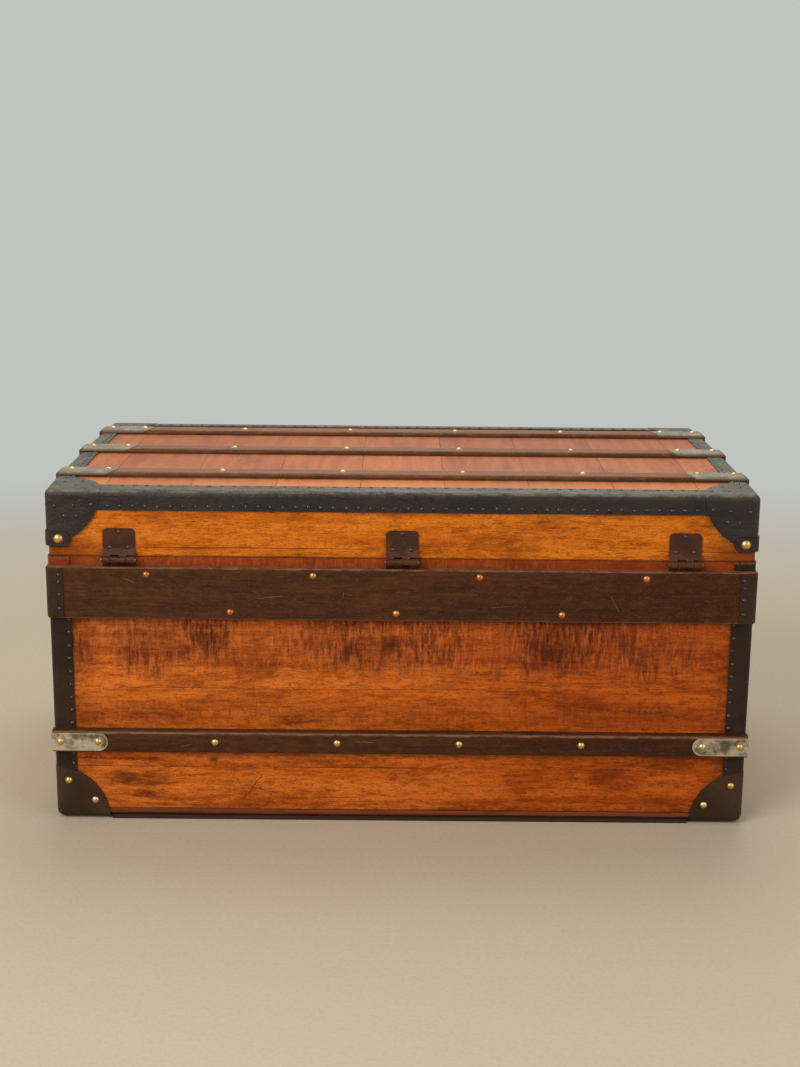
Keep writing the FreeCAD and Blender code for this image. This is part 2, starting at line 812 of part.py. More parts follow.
def rounded_bar(name, middle, top_z, offset):
    """A top slat's bar with rounded ends and long edges, grown by an offset on its sides, ends and top."""
    body = doc.addObject("PartDesign::Body", name)
    sketch = sketch_on(body, "YZ_Plane")
    reach = size.top_slat_width / 2 + offset
    y = (middle - reach, middle + reach)
    z = (lid_edge_z - size.lid_board, top_z + offset)
    polygon(sketch, [(y[0], z[0]), (y[1], z[0]), (y[1], z[1]), (y[0], z[1])])
    bar = pad(body, sketch, 2 * (half_length + offset))
    height = float(z[1]) - 1e-3

    def at_top(edge):
        return all(vertex.Z > height for vertex in edge.Vertexes)

    def top_end(edge):
        return along(edge, Y_AXIS) and at_top(edge)

    def top_side(edge):
        return along(edge, X_AXIS) and at_top(edge)

    bar = round_edges(body, bar, top_end, size.top_slat_end_radius + offset)
    round_edges(body, bar, top_side, size.top_slat_edge_radius + offset)
    return body


for place_name, middle in slat_spots.items():
    drop = middle * middle / (2 * crown_radius)
    slat_tops[place_name] = wood_crown - drop + size.top_slat_thickness
    top_z = slat_tops[place_name]
    bar = rounded_bar(f"top_slat_{place_name}_bar", middle, top_z, 0)
    slat = cut(f"top_slat_{place_name}_seat", bar, lid_wood, lid_bindings["left"], lid_bindings["right"])
    below = box(f"slat_below_{place_name}", (-far, far), (-far, far), (0, lid_edge_z - size.slat_end_drop))
    node(f"top_slat_{place_name}", cut(f"top_slat_{place_name}_end", slat, below))
    cover = rounded_bar(f"end_cap_{place_name}_cover", middle, top_z, size.zinc_thickness)
    sheet_metal = cut(f"end_cap_{place_name}_sheet", cover, bar)
    outer_z = top_z + size.zinc_thickness
    outer_x = half_length + size.zinc_thickness
    tip_round = size.top_slat_width / 2 + size.zinc_thickness
    tip_x = half_length - size.end_cap_length + tip_round
    foot_round = size.end_cap_width / 2
    foot_z = outer_z - size.end_cap_drop + foot_round
    crest_y = (middle - tip_round, middle + tip_round)
    crest_z = (top_z - size.end_cap_cover, outer_z)
    foot_y = (middle - foot_round, middle + foot_round)
    for side, sign in SIDES.items():
        key = f"{place_name}_{side}"
        end_x = span(sign, half_length, outer_x)
        crest = fuse(f"end_cap_crest_{key}",
                     box(f"end_cap_top_{key}", span(sign, tip_x, outer_x), crest_y, crest_z),
                     rod(f"end_cap_tip_{key}", "z", tip_round, crest_z, (sign * tip_x, middle)))
        end_caps.append(fuse(
            f"end_cap_{key}",
            common(f"end_cap_bent_{key}", sheet_metal, crest),
            box(f"end_cap_drop_{key}", end_x, foot_y, (foot_z, crest_z[0])),
            rod(f"end_cap_foot_{key}", "x", foot_round, end_x, (middle, foot_z))))
node("slat_end_caps", group("end_cap_group", *end_caps))


# Hasps, keepers and lock

hasp_bore = size.hasp_pin_radius + size.pin_clearance
half_bracket = size.hasp_bracket_width / 2
half_knuckle = size.hasp_knuckle_width / 2
bracket_plate = leaf_blank("bracket_plate", size.hasp_stand, size.hasp_barrel_radius, hasp_bore,
                           size.hasp_bracket_height, size.hasp_crank_height, 1, size.hasp_bracket_width)
bracket_span = (-half_bracket, half_bracket)
bracket_barrel = rod("bracket_barrel", "y", size.hasp_barrel_radius, bracket_span, (0, 0))
bracket_bore = rod("bracket_bore", "y", hasp_bore, bracket_span, (0, 0))
slot_reach = size.hasp_barrel_radius + size.leaf_thickness
slot_half = half_knuckle + size.knuckle_gap / 2
slot_across = (-slot_reach, slot_reach)
bracket_slot = box("bracket_slot", slot_across, (-slot_half, slot_half), slot_across)
bracket = cut("bracket", fuse("bracket_whole", bracket_plate, bracket_barrel), bracket_bore, bracket_slot)

tongue_half = size.tongue_width / 2
tongue_side = size.tongue_thickness / 2
knuckle_reach = half_knuckle - size.knuckle_gap / 2
tongue_round = rod("tongue_round", "x", tongue_half, (-tongue_side, tongue_side),
                   (0, tongue_half - size.tongue_length))
tongue_blade = box("tongue_blade", (-tongue_side, tongue_side), (-tongue_half, tongue_half),
                   (tongue_half - size.tongue_length, -size.tongue_shoulder))
tongue_neck = box("tongue_neck", (-tongue_side, tongue_side), (-knuckle_reach, knuckle_reach),
                  (-size.tongue_shoulder, 0))
tongue_barrel = rod("tongue_barrel", "y", size.hasp_barrel_radius, (-knuckle_reach, knuckle_reach), (0, 0))
tongue_peg = box("tongue_peg", (-(tongue_side + size.peg_reach), -tongue_side),
                 (-size.peg_width / 2, size.peg_width / 2),
                 (-size.peg_drop - size.peg_height, -size.peg_drop))
tongue_bore = rod("tongue_bore", "y", hasp_bore, bracket_span, (0, 0))
eye_z = -size.peg_drop - size.peg_height / 2
eye_half = size.bolt_height / 2 + size.bolt_eye_margin / 2
peg_eye = box("peg_eye", (-(tongue_side + size.peg_reach) + size.bolt_eye_margin, -tongue_side),
              (-far, far), (eye_z - eye_half, eye_z + eye_half))
tongue_whole = fuse("tongue_whole", tongue_round, tongue_blade, tongue_neck, tongue_barrel, tongue_peg)
tongue = cut("tongue", tongue_whole, tongue_bore)
lock_tongue = cut("lock_tongue", tongue, peg_eye)

brackets = []
hasp_pins = []
for name, number, blade in (("left", -1, tongue), ("lock", 0, lock_tongue), ("right", 1, tongue)):
    spot = hasp_pitch * number
    brackets.append(turned(f"bracket_{name}", bracket, 90, spot, hasp_y, hasp_z))
    reach = half_bracket + size.pin_overhang
    hasp_pins.append(rod(f"hasp_pin_{name}", "x", size.hasp_pin_radius, (spot - reach, spot + reach),
                         (hasp_y, hasp_z)))
    node(f"{name}_hasp", turned(f"tongue_{name}", blade, 90, spot, hasp_y, hasp_z))
node("hasp_brackets", group("bracket_group", *brackets))
node("hasp_pins", group("hasp_pin_group", *hasp_pins))

plate_y = (band_face, band_face + size.keeper_thickness)
plate_z = (plate_top - size.keeper_height, plate_top)
keepers = []
for number in (-1, 1):
    middle = hasp_pitch * number
    keeper_x = (middle - size.keeper_width / 2, middle + size.keeper_width / 2)
    plate = box(f"keeper_plate{number + 1}", keeper_x, plate_y, plate_z)
    notch = box(f"keeper_notch{number + 1}", (middle - peg_half, middle + peg_half), (0, far), pocket_z)
    keepers.append(cut(f"keeper{number + 1}", plate, notch))
node("side_keepers", group("keeper_group", *keepers))

lock_half = size.lock_plate_width / 2
lock_sheet = box("lock_sheet", (-lock_half, lock_half), plate_y, plate_z)
lock_notch = box("lock_notch", (-peg_half, peg_half), (0, far), pocket_z)
keyhole_z = plate_top - size.keyhole_drop
slot_side = size.keyhole_slot_width / 2
keyhole = rod("keyhole", "y", size.keyhole_radius, (0, far), (0, keyhole_z))
keyhole_slot = box("keyhole_slot", (-slot_side, slot_side), (0, far),
                   (keyhole_z - size.keyhole_slot_length, keyhole_z))
node("lock_plate", cut("lock_plate_cut", lock_sheet, lock_notch, keyhole, keyhole_slot))

bolt_z = hasp_z + eye_z
bolt_y_high = band_face - size.bolt_eye_margin
bolt_y = (bolt_y_high - size.bolt_thickness, bolt_y_high)
bolt_rest = -(peg_half + size.bolt_eye_margin)
bolt_x = (bolt_rest - size.bolt_width, bolt_rest)
channel_gap = size.knuckle_gap
channel = box("bolt_channel", (bolt_x[0] - channel_gap, bolt_rest + size.bolt_throw + peg_half),
              (bolt_y[0] - channel_gap, far),
              (bolt_z - size.bolt_height / 2 - channel_gap, bolt_z + size.bolt_height / 2 + channel_gap))
case_block = box("lock_case_block", (-case_half, case_half), case_y, case_z)
case_notch = box("lock_case_notch", (-peg_half, peg_half), pocket_y, pocket_z)
node("lock_case", cut("lock_case_cut", case_block, case_notch, channel, keyhole, keyhole_slot))
node("lock_bolt", box("lock_bolt_bar", bolt_x, bolt_y, (bolt_z - size.bolt_height / 2,
                                                       bolt_z + size.bolt_height / 2)))


# Drop handles on the ends

QUARTER_TURN = 90


def elbow(name, first, x, y, z):
    """A quarter bend of the handle rod in the plane of the end board, from a first angle on."""
    item = doc.addObject("Part::Torus", name)
    bind(item, "Radius1", size.handle_bend_radius)
    bind(item, "Radius2", size.handle_rod_radius)
    item.Angle3 = QUARTER_TURN
    turn = FreeCAD.Rotation(X_AXIS, first)
    item.Placement.Rotation = turn.multiply(FreeCAD.Rotation(Y_AXIS, Z_AXIS, X_AXIS, "ZXY"))
    place(item, x, y, z)
    return item


handle_x = wood_x + size.handle_stand
handle_z = band_base - size.handle_band_gap - size.lug_plate_height / 2
bar_z = handle_z - size.handle_drop
bend = size.handle_bend_radius
arm = size.handle_half_span
rod_radius = size.handle_rod_radius
handle_bore = rod_radius + size.pin_clearance
boss_near = arm + rod_radius + size.lug_side_gap
boss_span = (boss_near, boss_near + size.lug_boss_width)
pin_end = boss_span[1] + size.lug_pin_overhang
lugs = []
for side, sign in SIDES.items():
    x = sign * handle_x
    bail = [rod(f"{side}_bar", "y", rod_radius, (bend - arm, arm - bend), (x, bar_z))]
    for end_name, end in (("near", -1), ("far", 1)):
        key = f"{side}_{end_name}"
        bail.append(rod(f"arm_{key}", "z", rod_radius, (bar_z + bend, handle_z), (x, end * arm)))
        start = 2 * QUARTER_TURN if end < 0 else 3 * QUARTER_TURN
        bail.append(elbow(f"elbow_{key}", start, x, end * (arm - bend), bar_z + bend))
        bail.append(ball(f"knee_{key}", rod_radius, x, end * arm, handle_z))
        bail.append(rod(f"pivot_{key}", "y", rod_radius, span(end, arm, pin_end), (x, handle_z)))
        boss = rod(f"boss_{key}", "y", size.lug_boss_radius, span(end, *boss_span), (x, handle_z))
        web = box(f"web_{key}", span(sign, wood_x, handle_x), span(end, *boss_span),
                  (handle_z - size.lug_boss_radius, handle_z + size.lug_boss_radius))
        foot = box(f"foot_{key}", span(sign, wood_x, wood_x + size.lug_plate_thickness),
                   span(end, boss_near, boss_near + size.lug_plate_width),
                   (handle_z - size.lug_plate_height / 2, handle_z + size.lug_plate_height / 2))
        bore = rod(f"bore_{key}", "y", handle_bore, span(end, 0, far), (x, handle_z))
        lugs.append(cut(f"lug_{key}", fuse(f"lug_whole_{key}", boss, web, foot), bore))
    node(f"{side}_handle", fuse(f"{side}_bail", *bail))
    reach = size.grip_length / 2
    sleeve = rod(f"{side}_sleeve", "y", size.grip_radius, (-reach, reach), (x, bar_z))
    hole = rod(f"{side}_sleeve_bore", "y", handle_bore, (-far, far), (x, bar_z))
    node(f"{side}_handle_grip", cut(f"{side}_grip", sleeve, hole))
node("handle_lugs", group("lug_group", *lugs))


# Brass nails: a domed head on the surface and a shank in the wood

def nail(radius, crown, shank):
    """One nail on the Z axis, with the underside of its head at the origin."""
    head, rise = float(radius), float(crown)
    stem, depth = float(size.shank_radius), float(shank)
    bulge = (head * head + rise * rise) / (2 * rise)
    half_turn = math.asin(head / bulge) / 2
    between = FreeCAD.Vector(bulge * math.sin(half_turn), 0, rise - bulge + bulge * math.cos(half_turn))
    top, rim = FreeCAD.Vector(0, 0, rise), FreeCAD.Vector(head, 0, 0)
    shank_corners = ((stem, 0), (stem, -depth), (0, -depth))
    corners = [rim, *(FreeCAD.Vector(x, 0, z) for x, z in shank_corners), top]
    edges = [Part.Arc(top, between, rim).toShape()]
    for number in range(len(corners) - 1):
        edges.append(Part.makeLine(corners[number], corners[number + 1]))
    return Part.Face(Part.Wire(edges)).revolve(FreeCAD.Vector(0, 0, 0), Z_AXIS, 360)


def nails(label, spots):
    """A group of nails, each given as its kind, a point on the surface and the way its head faces."""
    copies = []
    for kind, point, way in spots:
        copy = kind.copy()
        spot = FreeCAD.Vector(*map(float, point))
        copy.Placement = FreeCAD.Placement(spot, FreeCAD.Rotation(Z_AXIS, way))
        copies.append(copy)
    item = doc.addObject("Part::Feature", f"{label}_group")
    item.Shape = Part.makeCompound(copies)
    return node(label, item)


long_nail = nail(size.nail_radius, size.nail_crown, size.shank_length)
short_nail = nail(size.nail_radius, size.nail_crown, size.short_shank_length)
clamp_nail = nail(size.clamp_nail_radius, size.clamp_nail_crown, size.short_shank_length)
small_nail = nail(size.small_nail_radius, size.small_nail_crown, size.short_shank_length)

spots = []
high_z, low_z = band_top - size.band_nail_margin, band_base + size.band_nail_margin
for face, sign in FACES.items():
    for row_z, steps in ((high_z, (-1.5, -0.5, 0.5, 1.5)), (low_z, (-1, 0, 1))):
        for step in steps:
            x = size.band_nail_pitch * step + size.band_nail_shift
            from_keeper = abs(abs(float(x)) - float(hasp_pitch))
            near_lock = abs(float(x)) < float(lock_half) + float(size.nail_radius)
            near_keeper = from_keeper < float(size.keeper_width)
            if sign < 0 or not (near_lock or near_keeper):
                spots.append((long_nail, (x, sign * band_face, row_z), sign * Y_AXIS))
for side, sign in SIDES.items():
    x = sign * (wood_x + size.end_band_thickness)
    for row_z, reach, steps in ((high_z, half_depth - size.end_nail_inset, (-0.5, 0.5)),
                                (low_z, end_band_y - size.end_nail_inset, (-1, 0, 1))):
        for step in steps:
            spots.append((long_nail, (x, reach * step, row_z), sign * X_AXIS))
nails("band_nails", spots)

spots = []
for face, sign in FACES.items():
    for step in (-1.5, -0.5, 0.5, 1.5):
        x = size.slat_nail_pitch * step + size.slat_nail_shift
        spots.append((long_nail, (x, sign * slat_face, clasp_middle), sign * Y_AXIS))
for face, face_sign in FACES.items():
    for side, side_sign in SIDES.items():
        y = face_sign * (slat_face + size.zinc_thickness)
        for inset in (size.clasp_nail_outer, size.clasp_nail_inner):
            x = side_sign * (half_length - inset)
            spots.append((short_nail, (x, y, clasp_middle), face_sign * Y_AXIS))
        x = side_sign * (half_length + size.zinc_thickness)
        y = face_sign * (half_depth - size.clasp_nail_end)
        spots.append((short_nail, (x, y, clasp_middle), side_sign * X_AXIS))
nails("lower_slat_nails", spots)

spots = []
for face, face_sign in FACES.items():
    for side, side_sign in SIDES.items():
        for across, high in ((size.corner_nail_near, size.corner_nail_far),
                             (size.corner_nail_far, size.corner_nail_low)):
            z = cap_foot + high
            on_face = (side_sign * (half_length - across), face_sign * (wood_y + cap_offset), z)
            on_end = (side_sign * (wood_x + cap_offset), face_sign * (half_depth - across), z)
            spots.append((short_nail, on_face, face_sign * Y_AXIS))
            spots.append((short_nail, on_end, side_sign * X_AXIS))
nails("bottom_corner_nails", spots)

spots = []
for face, face_sign in FACES.items():
    for side, side_sign in SIDES.items():
        reach = cap_offset + size.clamp_thickness
        x = side_sign * (half_length - size.clamp_nail_inset)
        on_face = (x, face_sign * (wood_y + reach), clamp_middle)
        spots.append((clamp_nail, on_face, face_sign * Y_AXIS))
nails("clamp_nails", spots)

spots = []
for place_name, middle in slat_spots.items():
    for step in (-1.5, -0.5, 0.5, 1.5):
        spots.append((short_nail, (size.top_nail_pitch * step, middle, slat_tops[place_name]), Z_AXIS))
    cap_top = slat_tops[place_name] + size.zinc_thickness
    for sign in SIDES.values():
        for inset in (size.cap_nail_outer, size.cap_nail_inner):
            spots.append((short_nail, (sign * (half_length - inset), middle, cap_top), Z_AXIS))
        x = sign * (half_length + size.zinc_thickness)
        spots.append((short_nail, (x, middle, cap_top - size.cap_nail_drop), sign * X_AXIS))
nails("top_slat_nails", spots)

spots = []
leaf_y = -(wood_y + size.leaf_thickness)
for number in (-1, 0, 1):
    for x, z in ((0, size.hinge_nail_high), (-size.hinge_nail_spread, size.hinge_nail_low),
                 (size.hinge_nail_spread, size.hinge_nail_low)):
        spots.append((small_nail, (hinge_pitch * number + x, leaf_y, hinge_z + z), -Y_AXIS))
bracket_nail_z = hasp_z + size.hasp_bracket_height - size.leaf_corner_radius
for number in (-1, 0, 1):
    for x in (-size.hinge_nail_spread, size.hinge_nail_spread):
        spots.append((small_nail, (hasp_pitch * number + x, -leaf_y, bracket_nail_z), Y_AXIS))
nails("lid_hardware_nails", spots)

spots = []
margin = size.leaf_corner_radius
keeper_half = size.keeper_width / 2
for number, half_plate in ((-1, keeper_half), (0, lock_half), (1, keeper_half)):
    middle = hasp_pitch * number
    for x in (half_plate - margin, margin - half_plate):
        for z in (plate_z[0] + margin, plate_z[1] - margin):
            spots.append((small_nail, (middle + x, plate_y[1], z), Y_AXIS))
for side, sign in SIDES.items():
    for end in (-1, 1):
        for rise in (-1, 1):
            x = sign * (wood_x + size.lug_plate_thickness)
            y = end * (boss_near + size.lug_plate_width / 2)
            z = handle_z + rise * (size.lug_plate_height / 2 - margin)
            spots.append((small_nail, (x, y, z), sign * X_AXIS))
nails("body_hardware_nails", spots)


# Check and write every piece

doc.recompute()
broken = [item.Name for item in doc.Objects if "Invalid" in item.State or "Error" in item.State]
broken += [label for label, item in parts.items() if item.Shape.isNull() or not item.Shape.isValid()]
if broken:
    raise RuntimeError("pieces that failed: " + ", ".join(broken))
os.makedirs("parts", exist_ok=True)
for label, item in parts.items():
    item.Shape.exportStep(f"parts/{label}.step")
    print(label, len(item.Shape.Solids), round(item.Shape.Volume))
print(len(parts), "pieces")
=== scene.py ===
import math
import random

import bpy
from mathutils import Matrix, Vector


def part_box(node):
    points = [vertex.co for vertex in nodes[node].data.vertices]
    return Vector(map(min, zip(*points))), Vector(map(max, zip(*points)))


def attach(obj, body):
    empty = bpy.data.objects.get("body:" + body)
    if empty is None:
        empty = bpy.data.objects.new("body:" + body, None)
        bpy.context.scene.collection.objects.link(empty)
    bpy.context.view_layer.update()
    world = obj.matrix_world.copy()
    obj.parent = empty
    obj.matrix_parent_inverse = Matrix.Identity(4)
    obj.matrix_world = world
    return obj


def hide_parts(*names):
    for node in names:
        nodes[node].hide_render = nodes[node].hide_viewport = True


# Looks of the slatted wooden travel trunk. The hinge side faces -Y and is the side that is seen first.

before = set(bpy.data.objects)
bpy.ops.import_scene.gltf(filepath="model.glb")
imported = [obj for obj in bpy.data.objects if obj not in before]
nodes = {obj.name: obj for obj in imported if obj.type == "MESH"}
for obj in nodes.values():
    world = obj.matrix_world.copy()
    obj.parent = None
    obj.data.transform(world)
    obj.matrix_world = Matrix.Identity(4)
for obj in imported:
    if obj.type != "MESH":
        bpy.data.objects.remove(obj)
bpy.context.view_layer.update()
scene = bpy.context.scene

SIDES = (-1, 1)
HALF_LENGTH = 0.450
HALF_DEPTH = 0.250
WOOD_HALF_LENGTH = 0.448
WOOD_HALF_DEPTH = 0.248
RIM_HEIGHT = 0.356
LID_EDGE = 0.443
LID_CROWN = 0.004


# Shader nodes as Python expressions

class Wire:
    """A value on a socket. Arithmetic on wires adds Math nodes to the same finish."""

    def __init__(self, finish, socket):
        self.finish = finish
        self.socket = socket

    def out(self, name):
        """Another output of the same node."""
        return Wire(self.finish, self.socket.node.outputs[name])

    def math(self, operation, *others):
        """A Math node with this value first."""
        values = dict(enumerate((self, *others)))
        return self.finish.node("ShaderNodeMath", values, operation=operation)

    def before(self, operation, other):
        """A Math node with the other value first."""
        return self.finish.node("ShaderNodeMath", {0: other, 1: self}, operation=operation)

    def __add__(self, other):
        return self.math("ADD", other)

    def __radd__(self, other):
        return self.before("ADD", other)

    def __sub__(self, other):
        return self.math("SUBTRACT", other)

    def __rsub__(self, other):
        return self.before("SUBTRACT", other)

    def __mul__(self, other):
        return self.math("MULTIPLY", other)

    def __rmul__(self, other):
        return self.before("MULTIPLY", other)

    def __truediv__(self, other):
        return self.math("DIVIDE", other)

    def __gt__(self, other):
        return self.math("GREATER_THAN", other)

    def __abs__(self):
        return self.math("ABSOLUTE")

    def largest(self, other):
        return self.math("MAXIMUM", other)

    def smallest(self, other):
        return self.math("MINIMUM", other)

    def floor(self):
        return self.math("FLOOR")

    def sine(self):
        return self.math("SINE")

    def root(self):
        return self.math("SQRT")

    def rise(self, low, high):
        """0 below the low value, 1 above the high one and a smooth step between them."""
        return self.step(low, high, 0, 1)

    def fall(self, low, high):
        """1 below the low value, 0 above the high one and a smooth step between them."""
        return self.step(low, high, 1, 0)

    def step(self, low, high, first, last):
        """The first number below the low value, the last above the high one, a smooth step between."""
        sockets = {"Value": self, "From Min": low, "From Max": high, "To Min": first, "To Max": last}
        return self.finish.node("ShaderNodeMapRange", sockets, output="Result",
                                interpolation_type="SMOOTHSTEP")


class Nodes:
    """A node tree that is filled one node at a time."""

    def __init__(self, tree):
        self.tree = tree
        self.tree.nodes.clear()

    def node(self, kind, sockets, output=0, **settings):
        """Add a node: its settings first, then the values or wires of its sockets."""
        item = self.tree.nodes.new(kind)
        for name, value in settings.items():
            setattr(item, name, value)
        for name, value in sockets.items():
            if isinstance(value, Wire):
                self.tree.links.new(value.socket, item.inputs[name])
            elif item.inputs[name].type == "RGBA":
                item.inputs[name].default_value = (*value, 1)
            else:
                item.inputs[name].default_value = value
        return Wire(self, item.outputs[output]) if item.outputs else None

    def mix(self, share, first, second):
        """A colour between two colours."""
        return self.node("ShaderNodeMix", {0: share, 6: first, 7: second}, output=2, data_type="RGBA")

    def tint(self, share, colour, varnish):
        """A colour seen through a tinted varnish."""
        sockets = {0: share, 6: colour, 7: varnish}
        return self.node("ShaderNodeMix", sockets, output=2, data_type="RGBA", blend_type="MULTIPLY")

    def seen_directly(self):
        """1 for what the camera sees, also in a reflection or through glass, 0 for light on things."""
        path = self.node("ShaderNodeLightPath", {}, output="Is Camera Ray")
        return path.largest(path.out("Is Glossy Ray")).largest(path.out("Is Transmission Ray"))


class Finish(Nodes):
    """A material, with the place of the surface point in metres as the wires x, y and z."""

    def __init__(self, name):
        self.material = bpy.data.materials.new(name)
        self.material.use_nodes = True
        super().__init__(self.material.node_tree)
        spot = self.node("ShaderNodeTexCoord", {}, output="Object")
        self.x = self.node("ShaderNodeSeparateXYZ", {"Vector": spot}, output="X")
        self.y = self.x.out("Y")
        self.z = self.x.out("Z")

    def point(self, x, y, z):
        return self.node("ShaderNodeCombineXYZ", {"X": x, "Y": y, "Z": z})

    def noise(self, x, y, z, detail=3.0, roughness=0.55):
        """Smooth noise, mostly from 0.3 to 0.7, at a point whose coordinates are already scaled."""
        sockets = {"Vector": self.point(x, y, z), "Scale": 1.0, "Detail": detail, "Roughness": roughness}
        return self.node("ShaderNodeTexNoise", sockets)

    def even_noise(self, scale, detail=4.0, roughness=0.55):
        """Noise with the same scale along X, Y and Z."""
        return self.noise(self.x * scale, self.y * scale, self.z * scale, detail, roughness)

    def cells(self, x, y, z):
        """Distance to the nearest of many scattered points."""
        sockets = {"Vector": self.point(x, y, z), "Scale": 1.0}
        return self.node("ShaderNodeTexVoronoi", sockets, output="Distance")

    def surface(self, colour, roughness, height, depth, metallic=0.0, specular=0.25):
        """A shader whose surface is lifted by the depth where the height is 1."""
        bump = self.node("ShaderNodeBump", {"Strength": 1.0, "Distance": depth, "Height": height},
                         output="Normal")
        sockets = {"Base Color": colour, "Roughness": roughness, "Metallic": metallic,
                   "Specular IOR Level": specular, "Normal": bump}
        return self.node("ShaderNodeBsdfPrincipled", sockets, output="BSDF")

    def close(self, shader):
        """The material with this shader as its surface."""
        self.node("ShaderNodeOutputMaterial", {"Surface": shader})
        return self.material

    def done(self, *look, **numbers):
        """The material with one plain surface all over."""
        return self.close(self.surface(*look, **numbers))


# The curve between a written level and the light it stands for: straight near black, a power above
STRAIGHT_LIMIT = 0.04045
STRAIGHT_SLOPE = 12.92
CURVE_SHIFT = 0.055
CURVE_POWER = 2.4


def light(level):
    """The light that a level from 0 to 255 stands for."""
    share = level / 255
    if share <= STRAIGHT_LIMIT:
        return share / STRAIGHT_SLOPE
    return ((share + CURVE_SHIFT) / (1 + CURVE_SHIFT)) ** CURVE_POWER


def paint(levels):
    """A colour written as red, green and blue from 0 to 255, as the light it reflects."""
    return tuple(light(level) for level in levels)


# Wood. A number that multiplies a place gives the waves of a noise in a metre

class Grain:
    """Fibres, figure and pores of a board, from wires along its run, across it and through it."""

    def __init__(self, finish, along, across, through):
        wander = finish.noise(along * 3.0, across * 9.0, through * 9.0, detail=2.0)
        bent = across + (wander - 0.5) * 0.03
        self.figure = finish.noise(along * 4.5, bent * 75.0, through * 40.0, detail=5.0, roughness=0.62)
        self.fibre = finish.noise(along * 24.0, bent * 720.0, through * 300.0, detail=4.0, roughness=0.7)
        self.vein = finish.noise(along * 11.0, bent * 240.0, through * 120.0, detail=3.0, roughness=0.6)
        self.pore = finish.noise(along * 150.0, bent * 1100.0, through * 400.0, detail=2.0).rise(0.62, 0.7)
        self.cloud = finish.noise(along * 8.0, across * 20.0, through * 20.0, detail=5.0, roughness=0.62)
        self.mottle = finish.noise(along * 58.0, across * 205.0, through * 110.0, detail=4.0, roughness=0.7)
        self.speck = finish.noise(along * 240.0, across * 690.0, through * 400.0, detail=3.0, roughness=0.7)


def knot(finish, along, across, middle, reach, wild):
    """A dark knot: 1 in its heart, 0 outside, with a border that is more ragged the wilder it is."""
    ragged = finish.noise(along * 80.0, across * 110.0, 0.0, detail=4.0)
    far_along = (along - middle[0]) / reach[0]
    far_across = (across - middle[1]) / reach[1]
    distance = (far_along * far_along + far_across * far_across).root() + (ragged - 0.5) * wild
    return distance.fall(0.1, 1.0)


def darkest_knot(finish, along, across, places, wild):
    """Many knots at once, each given by its middle, its reach both ways and its strength."""
    darkest = 0.0
    for middle, reach, strength in places:
        darkest = (knot(finish, along, across, middle, reach, wild) * strength).largest(darkest)
    return darkest


def joint_line(across, height, half_width=0.0007):
    """A dark joint between two boards."""
    return abs(across - height).fall(half_width * 0.4, half_width * 1.6)


def crack_line(finish, along, across, start, stop, ragged=0.007, width=0.0011):
    """A thin ragged crack from a start to a stop, both given along and across the board."""
    reach = math.dist(start, stop)
    step_along = (stop[0] - start[0]) / reach
    step_across = (stop[1] - start[1]) / reach
    past_along = along - start[0]
    past_across = across - start[1]
    travel = past_along * step_along + past_across * step_across
    wiggle = finish.noise(along * 160.0, across * 160.0, 0.0, detail=3.0) - 0.5
    aside = abs(past_across * step_along - past_along * step_across + wiggle * ragged)
    return aside.fall(width * 0.3, width) * travel.rise(0.0, 0.004) * travel.fall(reach - 0.006, reach)


AMBER = {"light": paint((220, 117, 42)), "middle": paint((188, 87, 15)), "dark": paint((124, 49, 0)),
         "stain": paint((70, 27, 2)), "line": paint((38, 19, 9)), "red": paint((132, 50, 8)),
         "plum": paint((122, 55, 36))}
LID_AMBER = {"light": paint((222, 124, 32)), "middle": paint((194, 97, 7)), "dark": paint((142, 62, 0)),
             "stain": paint((90, 39, 3)), "line": paint((46, 22, 9)), "red": paint((116, 50, 14))}
# A varnish tone, which also paints the shade of the light falling off along a wall towards the positive end
# of its run
VARNISH_AND_SHADE_TINT = (0.77, 0.63, 0.42)
BARE = {"light": paint((184, 148, 106)), "middle": paint((158, 120, 82)), "dark": paint((116, 84, 54))}


def varnished_colour(finish, grain, tones, lift):
    """Amber wood under old varnish: veins, fibres, clouds and short pores, lighter where it is lifted."""
    colour = finish.mix(grain.figure.rise(0.34, 0.66), tones["middle"], tones["light"])
    colour = finish.mix(lift, colour, tones["light"])
    colour = finish.mix(grain.cloud.rise(0.46, 0.68) * 0.7, colour, tones["dark"])
    colour = finish.mix(grain.vein.rise(0.5, 0.70) * 0.45, colour, tones["dark"])
    colour = finish.mix(grain.fibre.rise(0.48, 0.72) * 0.5, colour, tones["dark"])
    colour = finish.mix(grain.mottle.rise(0.5, 0.64) * 0.5, colour, tones["dark"])
    colour = finish.mix(grain.mottle.fall(0.36, 0.47) * 0.45, colour, tones["light"])
    colour = finish.mix(grain.speck.rise(0.53, 0.66) * 0.6, colour, tones["stain"])
    return finish.mix(grain.pore * grain.cloud.rise(0.4, 0.6) * 0.75, colour, tones["stain"])


def bare_colour(finish, grain):
    """Wood without varnish, dull with age."""
    colour = finish.mix(grain.figure.rise(0.3, 0.7), BARE["middle"], BARE["light"])
    colour = finish.mix(grain.fibre.rise(0.5, 0.75) * 0.55, colour, BARE["dark"])
    return finish.mix(grain.cloud.rise(0.55, 0.75) * 0.4, colour, BARE["dark"])


